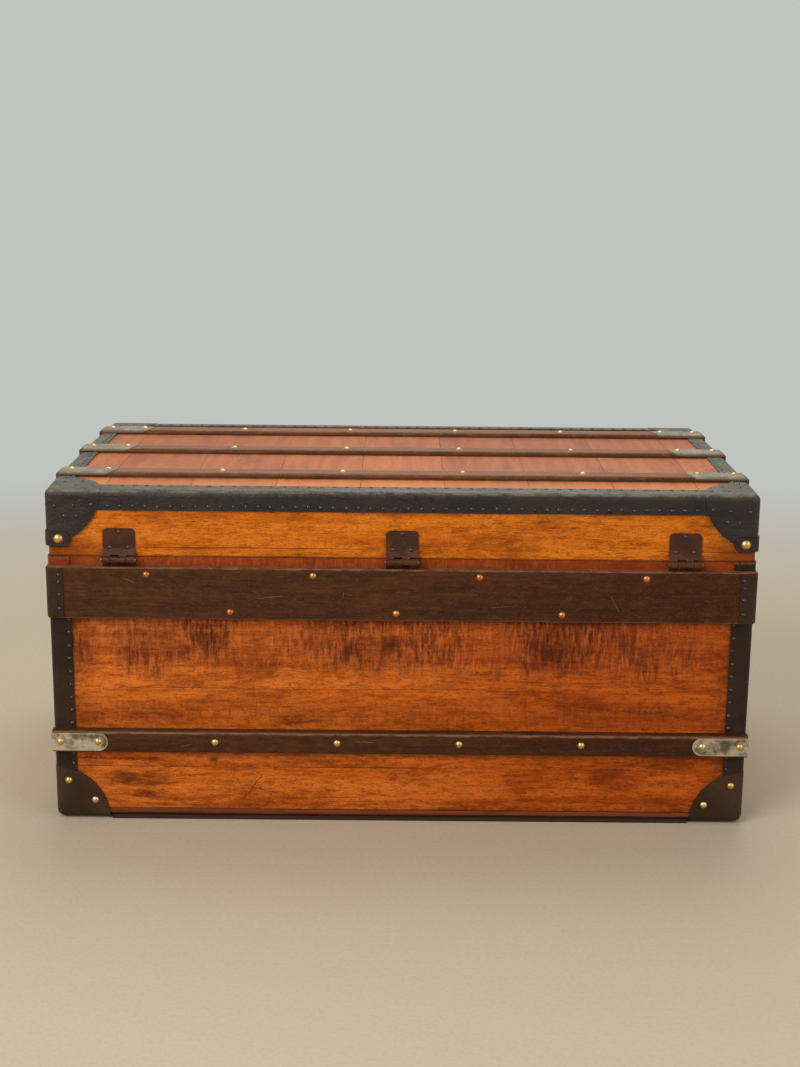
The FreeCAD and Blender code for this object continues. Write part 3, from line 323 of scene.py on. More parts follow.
# Places on the walls, the rails and the foot, in metres
WALL_JOINTS = (0.074, 0.182)
BAND_TOP = 0.3445
BAND_BASE = 0.2770
FLOOR_TOP = 0.0150
FOOT_LINE = 0.0088
RUNNER_TOP = 0.0050
SAW_PITCH = 0.0038
BRIGHT_STREAKS = (0.047, 0.190)
BRIGHT_HALF_WIDTH = 0.018
LID_STREAK = 0.397
SAW_BORDER = (0.190, 0.228)
SAW_RAGGED = 0.12
FAINT_SAW_BASE = (0.126, 0.140)
FAINT_SAW_TOP = (0.152, 0.178)
FOOT_DIRT = (0.016, 0.045)
WALL_SKIN = (0.0080, 0.0045)
RAIL_SKIN = (0.0070, 0.0040)
# Shift of the grain from board to board, how ragged dark marks are, and the shine of the varnish
BOARD_SHIFT = 3.7
RAIL_SHIFT = 1.9
RAGGED_STAIN = 1.3
RAGGED_KNOT = 0.7
VARNISH_GLOSS = 0.13


def board_axes(finish, lengthwise):
    """Wires along a board and through it, the place of its outer face and the end of its run."""
    if lengthwise:
        return finish.x, finish.y, WOOD_HALF_DEPTH, HALF_LENGTH
    return finish.y, finish.x, WOOD_HALF_LENGTH, HALF_DEPTH


def bare_inside(through, outside, skin):
    """1 deeper in the wood than its varnished skin, 0 on the outer face."""
    return abs(through).fall(outside - skin[0], outside - skin[1])


def wall_boards(name, lengthwise, stains, knots, cracks, saw_share, varnish_and_shade_share):
    """Varnished boards of a wall, bare on the inside. The grain runs along X or along Y."""
    finish = Finish(name)
    along, through, outside, end = board_axes(finish, lengthwise)
    high = finish.z
    board = (high > WALL_JOINTS[0]) + (high > WALL_JOINTS[1])
    grain = Grain(finish, along + board * BOARD_SHIFT, high, through)
    clump = finish.noise(along * 15.0, high * 9.0, through * 15.0, detail=4.0)
    lift = 0.0
    for bright in BRIGHT_STREAKS:
        lift = (abs(high - bright).fall(0.0, BRIGHT_HALF_WIDTH) * clump.rise(0.2, 0.7)).largest(lift)
    colour = varnished_colour(finish, grain, AMBER, lift)
    # Darker and redder towards the positive end of the run: a varnish tone, and painted shade of the light
    # falling off that way
    colour = finish.tint(along.rise(-0.05, 0.5 * end) * varnish_and_shade_share, colour, VARNISH_AND_SHADE_TINT)
    # Saw marks of the upper board, that end in a ragged border below
    border = finish.noise(along * 26.0, 0.5, through * 26.0, detail=5.0, roughness=0.7)
    streak = finish.noise(along * 190.0, high * 38.0, through * 190.0, detail=5.0, roughness=0.68)
    fine = finish.noise(along * 430.0, high * 90.0, through * 430.0, detail=3.0, roughness=0.7)
    zone = (high + (border - 0.5) * SAW_RAGGED).rise(*SAW_BORDER) * (high > WALL_JOINTS[1]) * saw_share
    zone = zone * along.fall(0.7 * end, 0.98 * end)
    soot = darkest_knot(finish, along, high, stains, RAGGED_STAIN)
    wander = finish.noise(along * 45.0, high * 12.0, through * 45.0, detail=2.0)
    tooth = ((along / SAW_PITCH + wander * 4.0) * math.tau).sine().rise(0.0, 1.0)
    middle_zone = high.rise(*FAINT_SAW_BASE) * high.fall(*FAINT_SAW_TOP) * saw_share
    sawn = zone.largest(middle_zone * 0.35)
    stroke = streak.rise(0.50, 0.555) * 0.6 + fine.rise(0.50, 0.585) * 0.36 + tooth * (soot * 0.3 + 0.12)
    saw = sawn * stroke * (clump.rise(0.42, 0.58) * 0.64 + 0.36)
    colour = finish.mix(zone * (clump.rise(0.34, 0.60) * 0.25 + 0.22), colour, AMBER["plum"])
    colour = finish.mix(sawn * streak.fall(0.36, 0.46) * 0.4, colour, AMBER["light"])
    colour = finish.mix(middle_zone * 0.3, colour, AMBER["red"])
    colour = finish.mix(soot * (grain.mottle.rise(0.38, 0.58) * 0.4 + 0.35), colour, AMBER["stain"])
    colour = finish.mix(saw * 0.86, colour, AMBER["stain"])
    hearts = darkest_knot(finish, along, high, knots, RAGGED_KNOT)
    for first, last in cracks:
        hearts = crack_line(finish, along, high, first, last).largest(hearts)
    colour = finish.mix(hearts * (grain.speck.rise(0.34, 0.58) * 0.4 + 0.6) * 0.9, colour, AMBER["stain"])
    # The redder strip under the lid, dirt beside the bindings that also stands for painted shade where the
    # light falls off towards an end, the joints and the darker foot
    colour = finish.mix(high.rise(BAND_TOP - 0.003, BAND_TOP) * 0.6, colour, AMBER["red"])
    # Dirt beside the bindings and at the foot, also painted shade where the light falls off towards an end of
    # the wall
    dirt_and_shade = abs(along).rise(end - 0.07, end - 0.026) * 0.35 + high.fall(*FOOT_DIRT) * 0.3
    colour = finish.mix(dirt_and_shade * (grain.mottle.rise(0.3, 0.6) * 0.6 + 0.4), colour, AMBER["stain"])
    broken = finish.noise(along * 6.0, high * 40.0, through * 6.0).rise(0.46, 0.58)
    lines = joint_line(high, WALL_JOINTS[0]) * (broken * 0.7 + 0.1)
    lines = lines.largest(joint_line(high, WALL_JOINTS[1], 0.0005) * broken * 0.5)
    lines = lines.largest(joint_line(high, FLOOR_TOP, 0.0012))
    inside = bare_inside(through, outside, WALL_SKIN)
    colour = finish.mix(inside, colour, bare_colour(finish, grain))
    colour = finish.mix(lines * 0.85, colour, AMBER["line"])
    roughness = 0.4 + grain.fibre * 0.12 + saw * 0.2 + inside * 0.25
    height = grain.fibre * 0.3 + grain.mottle * 0.2 + grain.speck * 0.2 + 0.3 - lines * 0.4 - saw * 0.3
    return finish.done(colour, roughness, height, depth=0.0006, specular=VARNISH_GLOSS)


LOW_CORNER = (0.364, 0.394)
RAIL_CRACK = 0.3685


def lid_rail(name, lengthwise):
    """Varnished rail of the lid, brighter than the walls, bare on the inside."""
    finish = Finish(name)
    along, through, outside, end = board_axes(finish, lengthwise)
    high = finish.z
    grain = Grain(finish, along + RAIL_SHIFT, high, through)
    lift = abs(high - LID_STREAK).fall(0.0, BRIGHT_HALF_WIDTH) * 0.5
    colour = varnished_colour(finish, grain, LID_AMBER, lift)
    # Short dark dashes in the grain, and dirt towards the corners
    dash = finish.noise(along * 60.0, high * 800.0, through * 200.0, detail=3.0).rise(0.58, 0.66)
    dash = dash * finish.noise(along * 7.0, high * 30.0, through * 7.0).rise(0.46, 0.58)
    colour = finish.mix(dash * 0.7, colour, LID_AMBER["stain"])
    low_corner = abs(along).rise(end - 0.10, end - 0.01) * high.fall(*LOW_CORNER)
    colour = finish.mix(low_corner * 0.8, colour, LID_AMBER["red"])
    crack = abs(high - RAIL_CRACK + (grain.cloud - 0.5) * 0.003).fall(0.0002, 0.0006)
    crack = crack * finish.noise(along * 4.0, 0.3, 0.0, detail=1.0).rise(0.5, 0.53)
    colour = finish.mix(crack * 0.8, colour, LID_AMBER["line"])
    edge = high.fall(RIM_HEIGHT + 0.0012, RIM_HEIGHT + 0.003)
    colour = finish.mix(edge * 0.7, colour, LID_AMBER["line"])
    inside = bare_inside(through, outside, RAIL_SKIN)
    colour = finish.mix(inside, colour, bare_colour(finish, grain))
    roughness = 0.4 + grain.fibre * 0.12 + inside * 0.25
    height = grain.fibre * 0.3 + grain.speck * 0.2 + 0.4 - crack * 0.5 - dash * 0.3
    return finish.done(colour, roughness, height, depth=0.0005, specular=VARNISH_GLOSS)


TOP_TONES = {"light": paint((192, 110, 50)), "middle": paint((172, 90, 38)), "dark": paint((120, 56, 24)),
             "edge": paint((222, 134, 62))}
TOP_BOARD_WIDTH = 0.108
TOP_BOARD_SHIFT = 2.3
TOP_JOINT = (0.4940, 0.4972)
TOP_UNDERSIDE = (0.4365, 0.4385)


def lid_top(name):
    """Reddish boards across the lid, bare underneath, duller in front and brighter at the hinges."""
    finish = Finish(name)
    place = finish.x / TOP_BOARD_WIDTH + 0.5
    board = place.floor()
    grain = Grain(finish, finish.y + board * TOP_BOARD_SHIFT, finish.x, finish.z)
    colour = finish.mix(grain.figure.rise(0.34, 0.66), TOP_TONES["middle"], TOP_TONES["light"])
    colour = finish.mix(grain.cloud.rise(0.48, 0.72) * 0.5, colour, TOP_TONES["dark"])
    colour = finish.mix(grain.mottle.rise(0.5, 0.70) * 0.4, colour, TOP_TONES["dark"])
    colour = finish.mix(grain.speck.rise(0.54, 0.70) * 0.35, colour, TOP_TONES["dark"])
    colour = finish.mix(finish.y.rise(-0.05, 0.2) * 0.3, colour, TOP_TONES["dark"])
    colour = finish.mix(finish.y.fall(-0.21, -0.17) * 0.6, colour, TOP_TONES["edge"])
    tone = finish.noise(board * 5.3, 0.7, 0.0, detail=0.0)
    colour = finish.mix(tone.rise(0.4, 0.7) * 0.25, colour, TOP_TONES["dark"])
    from_middle = abs(place - board - 0.5)
    joint = from_middle.rise(*TOP_JOINT) * (grain.cloud.rise(0.38, 0.58) * 0.6 + 0.4)
    inside = finish.z.fall(*TOP_UNDERSIDE)
    colour = finish.mix(inside, colour, bare_colour(finish, grain))
    colour = finish.mix(joint * 0.75, colour, AMBER["line"])
    roughness = 0.42 + grain.fibre * 0.12 + inside * 0.25
    height = grain.fibre * 0.35 + 0.5 - joint * 0.5
    return finish.done(colour, roughness, height, depth=0.0006, specular=0.3)


FLOOR_BOARD_WIDTH = 0.125
FOOT_EDGE = (0.0110, 0.0095)


def inner_boards(name):
    """Bare boards out of the light: the floor, its runners and the rim's lip, with a dark outer edge that is
    darkest low down as painted shade.
    """
    finish = Finish(name)
    grain = Grain(finish, finish.x, finish.y, finish.z)
    colour = bare_colour(finish, grain)
    grime = finish.even_noise(6.0, 5.0)
    # Painted shade: everything below the runner tops is darkened along with the grime
    under = finish.z.fall(RUNNER_TOP - 0.0010, RUNNER_TOP + 0.0005) * 0.55
    colour = finish.mix(grime.rise(0.5, 0.72) * 0.5 + under, colour, paint((70, 50, 34)))
    board = finish.y / FLOOR_BOARD_WIDTH
    on_floor = finish.z.fall(FLOOR_TOP + 0.0005, FLOOR_TOP + 0.0015)
    joint = abs(board - board.floor() - 0.5).rise(0.494, 0.498) * on_floor
    colour = finish.mix(joint * 0.9, colour, AMBER["line"])
    # The foot: redder above the foot line, darker below it and darkest below the runner tops, which is
    # painted shade low on the trunk together with dirt
    reddish = finish.z.rise(FOOT_LINE - 0.001, FOOT_LINE + 0.001)
    foot = finish.mix(reddish, paint((84, 45, 24)), paint((122, 58, 26)))
    foot = finish.mix(grain.vein.rise(0.44, 0.66) * 0.6, foot, paint((74, 36, 18)))
    broken = finish.noise(finish.x * 9.0, finish.y * 9.0, 0.0, detail=2.0).rise(0.44, 0.54)
    foot = finish.mix(joint_line(finish.z, FOOT_LINE) * broken * 0.9, foot, AMBER["line"])
    runner = finish.z.fall(RUNNER_TOP - 0.0005, RUNNER_TOP + 0.0005)
    foot = finish.mix(runner * 0.85, foot, paint((44, 33, 25)))
    edge_x = abs(finish.x).rise(HALF_LENGTH - FOOT_EDGE[0], HALF_LENGTH - FOOT_EDGE[1])
    edge_y = abs(finish.y).rise(HALF_DEPTH - FOOT_EDGE[0], HALF_DEPTH - FOOT_EDGE[1])
    colour = finish.mix(edge_x.largest(edge_y), colour, foot)
    height = grain.fibre * 0.5 + 0.5 - joint * 0.5
    return finish.done(colour, 0.62 + grain.fibre * 0.15, height, depth=0.0006)


SLAT_TONES = {"light": paint((102, 60, 32)), "middle": paint((77, 44, 21)), "dark": paint((48, 27, 11)),
              "worn_and_highlight": paint((146, 106, 80)), "red": paint((86, 42, 20))}
TOP_SLAT_TONES = {"light": paint((146, 94, 56)), "middle": paint((116, 72, 40)), "dark": paint((60, 37, 20)),
                  "worn_and_highlight": paint((172, 126, 98)), "red": paint((110, 60, 32))}
# A tint that makes the wood darker and redder towards the positive end of its run
DARKER_END_TINT = (0.74, 0.56, 0.50)
SLAT_SHIFT = 5.1
STAIN_GLOSS = 0.14
LID_WOOD_TOP = 0.4450
LID_BEND = 0.065


def above_lid(finish):
    """Height above the crowned boards of the lid."""
    return finish.z + finish.y * finish.y * LID_BEND - LID_WOOD_TOP


def dark_slat(name, lengthwise, edges, scratches=(), tones=SLAT_TONES, on_lid=False):
    """Dark stained hardwood. The edges are heights along Z where it is worn lighter, with a painted highlight
    where an edge catches the light.
    """
    finish = Finish(name)
    along, through = board_axes(finish, lengthwise)[:2]
    grain = Grain(finish, along + SLAT_SHIFT, finish.z, through)
    colour = finish.mix(grain.figure.rise(0.3, 0.7) * 0.7, tones["middle"], tones["dark"])
    colour = finish.mix(grain.cloud.rise(0.5, 0.68) * 0.6, colour, tones["red"])
    colour = finish.mix(grain.vein.rise(0.52, 0.74) * 0.55, colour, tones["light"])
    colour = finish.mix(grain.fibre.rise(0.46, 0.72) * 0.5, colour, tones["dark"])
    colour = finish.tint(along.rise(0.0, 0.4) * 0.8, colour, DARKER_END_TINT)
    colour = finish.mix(grain.mottle.rise(0.5, 0.64) * 0.5, colour, tones["dark"])
    colour = finish.mix(grain.speck.rise(0.54, 0.66) * 0.6, colour, tones["light"])
    scuff = finish.noise(along * 50.0, finish.z * 110.0, through * 110.0, detail=5.0, roughness=0.65)
    # Worn edges, also painted highlights along the edges that catch the light
    worn_edge_and_highlight = 0.0
    for edge in edges:
        worn_edge_and_highlight = abs(finish.z - edge + (scuff - 0.5) * 0.004).fall(0.0002, 0.0024).largest(worn_edge_and_highlight)
    colour = finish.mix(scuff.rise(0.50, 0.64) * 0.25, colour, tones["dark"])
    colour = finish.mix(scuff.fall(0.36, 0.46) * 0.25, colour, tones["light"])
    for first, last in scratches:
        scratch = crack_line(finish, along, finish.z, first, last, ragged=0.0022, width=0.0007)
        colour = finish.mix(scratch * scuff.rise(0.36, 0.56) * 0.5, colour, tones["worn_and_highlight"])
    colour = finish.mix(worn_edge_and_highlight * (scuff.rise(0.38, 0.6) * 0.4 + 0.25), colour, tones["worn_and_highlight"])
    bare = scuff.rise(0.64, 0.72) * grain.cloud.rise(0.5, 0.66)
    colour = finish.mix(bare * 0.5, colour, tones["worn_and_highlight"])
    if on_lid:
        # On the lid the foot of each slat is darkened as painted shadow and its top lightened as a painted
        # highlight
        lift = above_lid(finish)
        colour = finish.mix(lift.fall(0.0010, 0.0050) * 0.65, colour, tones["dark"])
        colour = finish.mix(lift.rise(0.0052, 0.0072) * 0.35, colour, tones["worn_and_highlight"])
    roughness = 0.46 + grain.fibre * 0.16
    height = grain.fibre * 0.6 + 0.4 - bare * 0.2
    return finish.done(colour, roughness, height, depth=0.0005, specular=STAIN_GLOSS)


# Leather and metal

LEATHER_DENT = 0.0056
LEATHER_GLOSS = 1.5


def binding_leather(name, dark, light, sheen, creases=()):
    """Blackened leather: fine wrinkles, creases with painted shade, worn brown along the outer edges with a
    painted highlight along the lid's crest, a painted sheen on the lid's top, and bare above the bands.
    """
    finish = Finish(name)
    x, y, z = finish.x, finish.y, finish.z
    wrinkle = finish.even_noise(330.0, 4.0, 0.6)
    fold = finish.noise(x * 36.0, y * 36.0, z * 60.0, detail=5.0, roughness=0.6)
    crease = abs(fold - 0.5).fall(0.002, 0.016) * finish.even_noise(16.0).rise(0.52, 0.66)
    for first, last in creases:
        crease = crack_line(finish, x, z, first, last).largest(crease)
    cloud = finish.even_noise(11.0)
    colour = finish.mix(cloud.rise(0.36, 0.66), dark, light)
    # Painted shade in the creases, besides their dent in the bump
    colour = finish.mix(crease * 0.4, colour, paint((24, 20, 16)))
    from_edge_x = HALF_LENGTH - abs(x)
    from_edge_y = HALF_DEPTH - abs(y)
    crest = (LID_EDGE - z).largest(from_edge_x.smallest(from_edge_y)).fall(0.0012, 0.0052)
    upright = from_edge_x.largest(from_edge_y).fall(0.0012, 0.0046)
    rubbed = finish.noise(x * 45.0, y * 45.0, z * 45.0, detail=5.0, roughness=0.65).rise(0.34, 0.62)
    # Rubbed edges, also a painted highlight along the crest of the lid's leather
    rub_and_highlight = crest.largest(upright * 0.15) * rubbed
    # Painted sheen: the top of the lid's leather is greyed like a reflection of the sky at a grazing angle
    top_sheen = z.rise(LID_EDGE - 0.0030, LID_EDGE) * (fold.rise(0.36, 0.60) * 0.35 + 0.35)
    colour = finish.mix(top_sheen, colour, paint((102, 95, 76)))
    colour = finish.mix(rub_and_highlight * (sheen + 0.15), colour, paint((150, 139, 116)))
    colour = finish.mix(wrinkle.rise(0.6, 0.74) * 0.25, colour, paint((92, 78, 60)))
    bare = (z > BAND_TOP) * z.fall(RIM_HEIGHT - 0.001, RIM_HEIGHT) * x.fall(-0.05, 0.0)
    colour = finish.mix(bare * (wrinkle.rise(0.3, 0.6) * 0.25 + 0.7), colour, AMBER["red"])
    lip = abs(z - RIM_HEIGHT).fall(0.001, 0.004) * wrinkle.rise(0.35, 0.55)
    colour = finish.mix(lip * 0.6, colour, paint((128, 88, 58)))
    roughness = 0.52 - sheen * 0.26 + cloud * 0.12 - rub_and_highlight * 0.06
    height = wrinkle * 0.2 + fold - crease * 0.4
    gloss = sheen * sheen * LEATHER_GLOSS
    return finish.done(colour, roughness, height, depth=sheen * LEATHER_DENT, specular=gloss)


def tack_steel(name):
    """Japanned tack heads, a little rubbed, their pale rubbed spots also painted highlights."""
    finish = Finish(name)
    rub_and_highlight = finish.even_noise(500.0, 3.0)
    # Pale rubbed spots, also painted highlights on the heads
    colour = finish.mix(rub_and_highlight.rise(0.50, 0.70) * 0.7, paint((20, 17, 14)), paint((92, 84, 72)))
    return finish.done(colour, 0.14 + rub_and_highlight * 0.14, rub_and_highlight, depth=0.0001, specular=0.6)


def painted_steel(name, dark, light):
    """Paint on sheet steel, chipped in places."""
    finish = Finish(name)
    chip = finish.even_noise(190.0, 5.0, 0.65)
    cloud = finish.even_noise(45.0)
    colour = finish.mix(cloud.rise(0.35, 0.68), dark, light)
    chips = chip.rise(0.62, 0.68)
    colour = finish.mix(chips * 0.7, colour, paint((34, 22, 16)))
    colour = finish.mix(chip.fall(0.28, 0.36) * 0.5, colour, paint((132, 98, 76)))
    roughness = 0.34 + cloud * 0.2 + chips * 0.2
    height = cloud * 0.6 + 0.4 - chips * 0.4
    return finish.done(colour, roughness, height, depth=0.0004, metallic=0.1)


CLASP_MIDDLE = 0.1117
CLASP_HALF_WIDTH = 0.012
CLASP_TIP = 0.390
CLASP_HEIGHTS = (0.2, 0.3)
CAP_HEIGHTS = (0.3, 0.4)


def zinc_sheet(name):
    """Dull zinc, brushed along its length: the clasps low on the body and the browner caps on the lid."""
    finish = Finish(name)
    brushed = finish.noise(finish.x * 60.0, finish.y * 700.0, finish.z * 900.0)
    cloud = finish.even_noise(48.0, 4.0, 0.6)
    colour = finish.mix(cloud.rise(0.38, 0.62), paint((100, 92, 74)), paint((198, 186, 160)))
    colour = finish.mix(brushed.rise(0.48, 0.72) * 0.4, colour, paint((84, 76, 62)))
    stain = finish.even_noise(150.0).rise(0.56, 0.68)
    colour = finish.mix(stain * 0.3, colour, paint((84, 68, 48)))
    on_lid = finish.z.rise(*CAP_HEIGHTS)
    colour = finish.mix(on_lid * 0.75, colour, paint((126, 116, 98)))
    # Painted shadow: the caps on the lid are darker low down, where they stand on the lid
    colour = finish.mix(on_lid * above_lid(finish).fall(0.0040, 0.0066) * 0.85, colour, paint((72, 54, 38)))
    past_tip = (CLASP_TIP - abs(finish.x)).largest(0.0)
    above = finish.z - CLASP_MIDDLE
    from_middle = (past_tip * past_tip + above * above).root()
    rim = from_middle.rise(CLASP_HALF_WIDTH - 0.0030, CLASP_HALF_WIDTH - 0.0012)
    rim = rim * finish.z.fall(*CLASP_HEIGHTS)
    colour = finish.mix(rim * 0.5, colour, paint((200, 186, 162)))
    roughness = 0.34 + cloud * 0.25 + on_lid * 0.12
    height = brushed * 0.4 + cloud * 0.6
    return finish.done(colour, roughness, height, depth=0.0005, metallic=0.7 - on_lid * 0.5, specular=0.4)


def brass_heads(name, bright, warm):
    """Nail heads, polished on the crown and dull with tarnish in places."""
    finish = Finish(name)
    tarnish = finish.even_noise(330.0)
    drift = finish.even_noise(11.0, 1.0)
    colour = finish.mix(drift.rise(0.36, 0.62), bright, warm)
    colour = finish.mix(tarnish.rise(0.54, 0.74) * 0.5, colour, paint((118, 76, 38)))
    return finish.done(colour, 0.26 + tarnish * 0.24, tarnish, depth=0.0002, metallic=1.0, specular=0.5)


def aged_steel(name, dark, light, metallic, smooth):
    """Bare steel or iron with rust specks."""
    finish = Finish(name)
    cloud = finish.even_noise(70.0, 5.0, 0.6)
    rust = finish.even_noise(260.0).rise(0.56, 0.7)
    colour = finish.mix(cloud.rise(0.36, 0.66), dark, light)
    colour = finish.mix(rust * 0.55, colour, paint((96, 56, 34)))
    roughness = smooth + cloud * 0.25 + rust * 0.2
    height = cloud - rust * 0.3
    return finish.done(colour, roughness, height, depth=0.0004, metallic=metallic, specular=0.5)


def grip_leather(name):
    """Brown leather sewn round the handle bar, darker where hands hold it."""
    finish = Finish(name)
    x, y, z = finish.x, finish.y, finish.z
    pebble = finish.cells(x * 700.0, y * 520.0, z * 700.0)
    cloud = finish.even_noise(55.0)
    colour = finish.mix(cloud.rise(0.36, 0.66), paint((88, 52, 32)), paint((122, 76, 46)))
    colour = finish.mix(abs(y).fall(0.008, 0.032) * 0.45, colour, paint((60, 34, 22)))
    colour = finish.mix(pebble.fall(0.1, 0.35) * 0.3, colour, paint((52, 30, 20)))
    return finish.done(colour, 0.42 + cloud * 0.2, pebble * 0.7 + cloud * 0.3, depth=0.0004)


THREAD_TWIST = 9000.0


def grip_thread(name):
    """Waxed linen thread with a twist."""
    finish = Finish(name)
    twist = ((finish.y + finish.z) * THREAD_TWIST).sine() * 0.5 + 0.5
    colour = finish.mix(twist, paint((150, 118, 76)), paint((196, 164, 116)))
    return finish.done(colour, 0.7 - twist * 0.1, twist, depth=0.0002)


BACKDROP = paint((192, 196, 193))
FLOOR_FADE = (0.9, 2.4)


def pale_floor(name):
    """Plain pale floor that runs out into the backdrop with distance."""
    finish = Finish(name)
    distance = (finish.x * finish.x + finish.y * finish.y).root()
    speckle = finish.noise(finish.x * 180.0, finish.y * 180.0, 0.0)
    colour = finish.mix(speckle.rise(0.4, 0.7) * 0.12, paint((192, 177, 154)), paint((146, 130, 108)))
    paint_coat = finish.surface(colour, 0.9 - speckle * 0.1, speckle, depth=0.0003)
    glow = finish.node("ShaderNodeEmission", {"Color": BACKDROP, "Strength": 1.0})
    far_away = distance.rise(*FLOOR_FADE) * finish.seen_directly()
    return finish.close(finish.node("ShaderNodeMixShader", {0: far_away, 1: paint_coat, 2: glow}))


# Stains and knots have a middle, along the wall and above the base, a reach both ways and a strength.
# Cracks, scratches and creases have a start and a stop.
BACK_STAINS = (
    ((-0.310, 0.244), (0.090, 0.036), 0.5),
    ((-0.246, 0.247), (0.042, 0.028), 0.7),
    ((-0.038, 0.232), (0.060, 0.044), 0.55),
    ((0.185, 0.234), (0.080, 0.048), 0.32),
    ((0.300, 0.240), (0.052, 0.038), 0.4),
    ((-0.345, 0.054), (0.070, 0.024), 0.7),
    ((-0.134, 0.140), (0.050, 0.016), 0.9),
    ((-0.340, 0.148), (0.090, 0.018), 0.5),
    ((0.330, 0.156), (0.080, 0.016), 0.6),
)
BACK_KNOTS = (
    ((-0.065, 0.235), (0.015, 0.016), 0.8),
    ((-0.016, 0.243), (0.024, 0.017), 0.95),
    ((0.196, 0.236), (0.042, 0.020), 0.95),
    ((-0.243, 0.0845), (0.013, 0.007), 0.9),
    ((-0.322, 0.0850), (0.012, 0.005), 0.9),
    ((-0.372, 0.0845), (0.034, 0.0025), 0.9),
    ((-0.329, 0.0360), (0.030, 0.010), 0.9),
    ((-0.360, 0.0600), (0.018, 0.012), 0.7),
    ((0.280, 0.0745), (0.036, 0.003), 0.9),
    ((0.330, 0.0680), (0.014, 0.004), 0.8),
)
BACK_CRACKS = (
    ((-0.205, 0.028), (-0.179, 0.066)),
    ((-0.194, 0.046), (-0.176, 0.042)),
    ((-0.420, 0.0858), (-0.342, 0.0832)),
)
BAND_SCRATCHES = (
    ((-0.073, 0.316), (-0.076, 0.303)),
    ((0.264, 0.314), (0.277, 0.290)),
    ((0.290, 0.3030), (0.302, 0.3012)),
    ((-0.352, 0.331), (-0.336, 0.323)),
    ((-0.186, 0.305), (-0.148, 0.309)),
    ((0.112, 0.2955), (0.150, 0.2990)),
)
SLAT_SCRATCHES = (
    ((-0.286, 0.1060), (-0.268, 0.1095)),
    ((-0.060, 0.1150), (-0.030, 0.1135)),
    ((0.130, 0.1080), (0.142, 0.1120)),
)
LID_CREASES = (
    ((-0.118, 0.4420), (-0.070, 0.4310)),
    ((-0.030, 0.4425), (0.010, 0.4290)),
    ((0.014, 0.4420), (0.026, 0.4190)),
    ((0.190, 0.4425), (0.222, 0.4330)),
)
FRONT_STAINS = (
    ((0.220, 0.244), (0.070, 0.034), 0.7),
    ((-0.250, 0.150), (0.060, 0.014), 0.6),
)
FRONT_KNOTS = (
    ((0.240, 0.236), (0.026, 0.015), 0.8),
    ((-0.110, 0.132), (0.018, 0.009), 0.8),
    ((0.060, 0.052), (0.022, 0.010), 0.7),
)
FRONT_CRACKS = (
    ((0.310, 0.030), (0.352, 0.060)),
)
END_STAINS = (
    ((0.100, 0.240), (0.050, 0.034), 0.7),
    ((-0.060, 0.050), (0.050, 0.016), 0.6),
)
END_KNOTS = (
    ((0.120, 0.222), (0.020, 0.013), 0.8),
    ((-0.090, 0.120), (0.018, 0.010), 0.7),
)
END_CRACKS = (
    ((0.070, 0.028), (0.098, 0.052)),
)

BAND_EDGES = (BAND_BASE, BAND_TOP)
LOWER_SLAT_EDGES = (0.0967, 0.1240)

# The finish of each node, then the nodes that share the finish of another one
FINISHES = {
    "back_boards": wall_boards("back_amber_boards", True, BACK_STAINS, BACK_KNOTS, BACK_CRACKS,
                               saw_share=1.0, varnish_and_shade_share=1.0),
    "front_boards": wall_boards("front_amber_boards", True, FRONT_STAINS, FRONT_KNOTS, FRONT_CRACKS,
                                saw_share=0.5, varnish_and_shade_share=0.4),
    "left_end_boards": wall_boards("end_amber_boards", False, END_STAINS, END_KNOTS, END_CRACKS,
                                   saw_share=0.5, varnish_and_shade_share=0.4),
    "lid_back_rail": lid_rail("long_lid_rail", True),
    "lid_left_rail": lid_rail("short_lid_rail", False),
    "lid_top_boards": lid_top("red_top_boards"),
    "bottom_boards": inner_boards("bare_floor_boards"),
    "band_back": dark_slat("long_dark_band", True, BAND_EDGES, BAND_SCRATCHES),
    "band_left": dark_slat("end_dark_band", False, BAND_EDGES),
    "lower_slat_back": dark_slat("long_dark_slat", True, LOWER_SLAT_EDGES, SLAT_SCRATCHES),
    "top_slat_back": dark_slat("top_dark_slat", True, (), tones=TOP_SLAT_TONES, on_lid=True),
    "lid_binding_back": binding_leather("black_lid_leather", paint((27, 21, 14)), paint((39, 32, 22)),
                                        sheen=0.5, creases=LID_CREASES),
    "corner_binding_back_left": binding_leather("brown_black_leather", paint((38, 26, 18)),
                                                paint((51, 36, 24)), sheen=0.3),
    "bottom_corner_caps": binding_leather("brown_cap_leather", paint((52, 37, 26)), paint((70, 51, 36)),
                                          sheen=0.3),
    "band_corner_wraps": binding_leather("brown_wrap_leather", paint((52, 35, 23)), paint((66, 45, 30)),
                                         sheen=0.3),
    "hinge_lid_leaves": painted_steel("maroon_painted_steel", paint((62, 34, 19)), paint((86, 49, 29))),
    "lid_hardware_nails": tack_steel("japanned_tacks"),
    "lid_corner_clamps": painted_steel("black_painted_steel", paint((38, 32, 26)), paint((56, 47, 38))),
    "slat_clasps": zinc_sheet("dull_zinc"),
    "band_nails": brass_heads("copper_nail_heads", paint((206, 132, 76)), paint((188, 108, 62))),
    "clamp_nails": brass_heads("brass_nail_heads", paint((224, 190, 122)), paint((208, 164, 100))),
    "hinge_pins": aged_steel("bare_pin_steel", paint((118, 110, 102)), paint((168, 160, 150)),
                             metallic=0.9, smooth=0.28),
    "left_handle": aged_steel("black_handle_iron", paint((44, 40, 38)), paint((70, 64, 60)),
                              metallic=0.6, smooth=0.36),
}
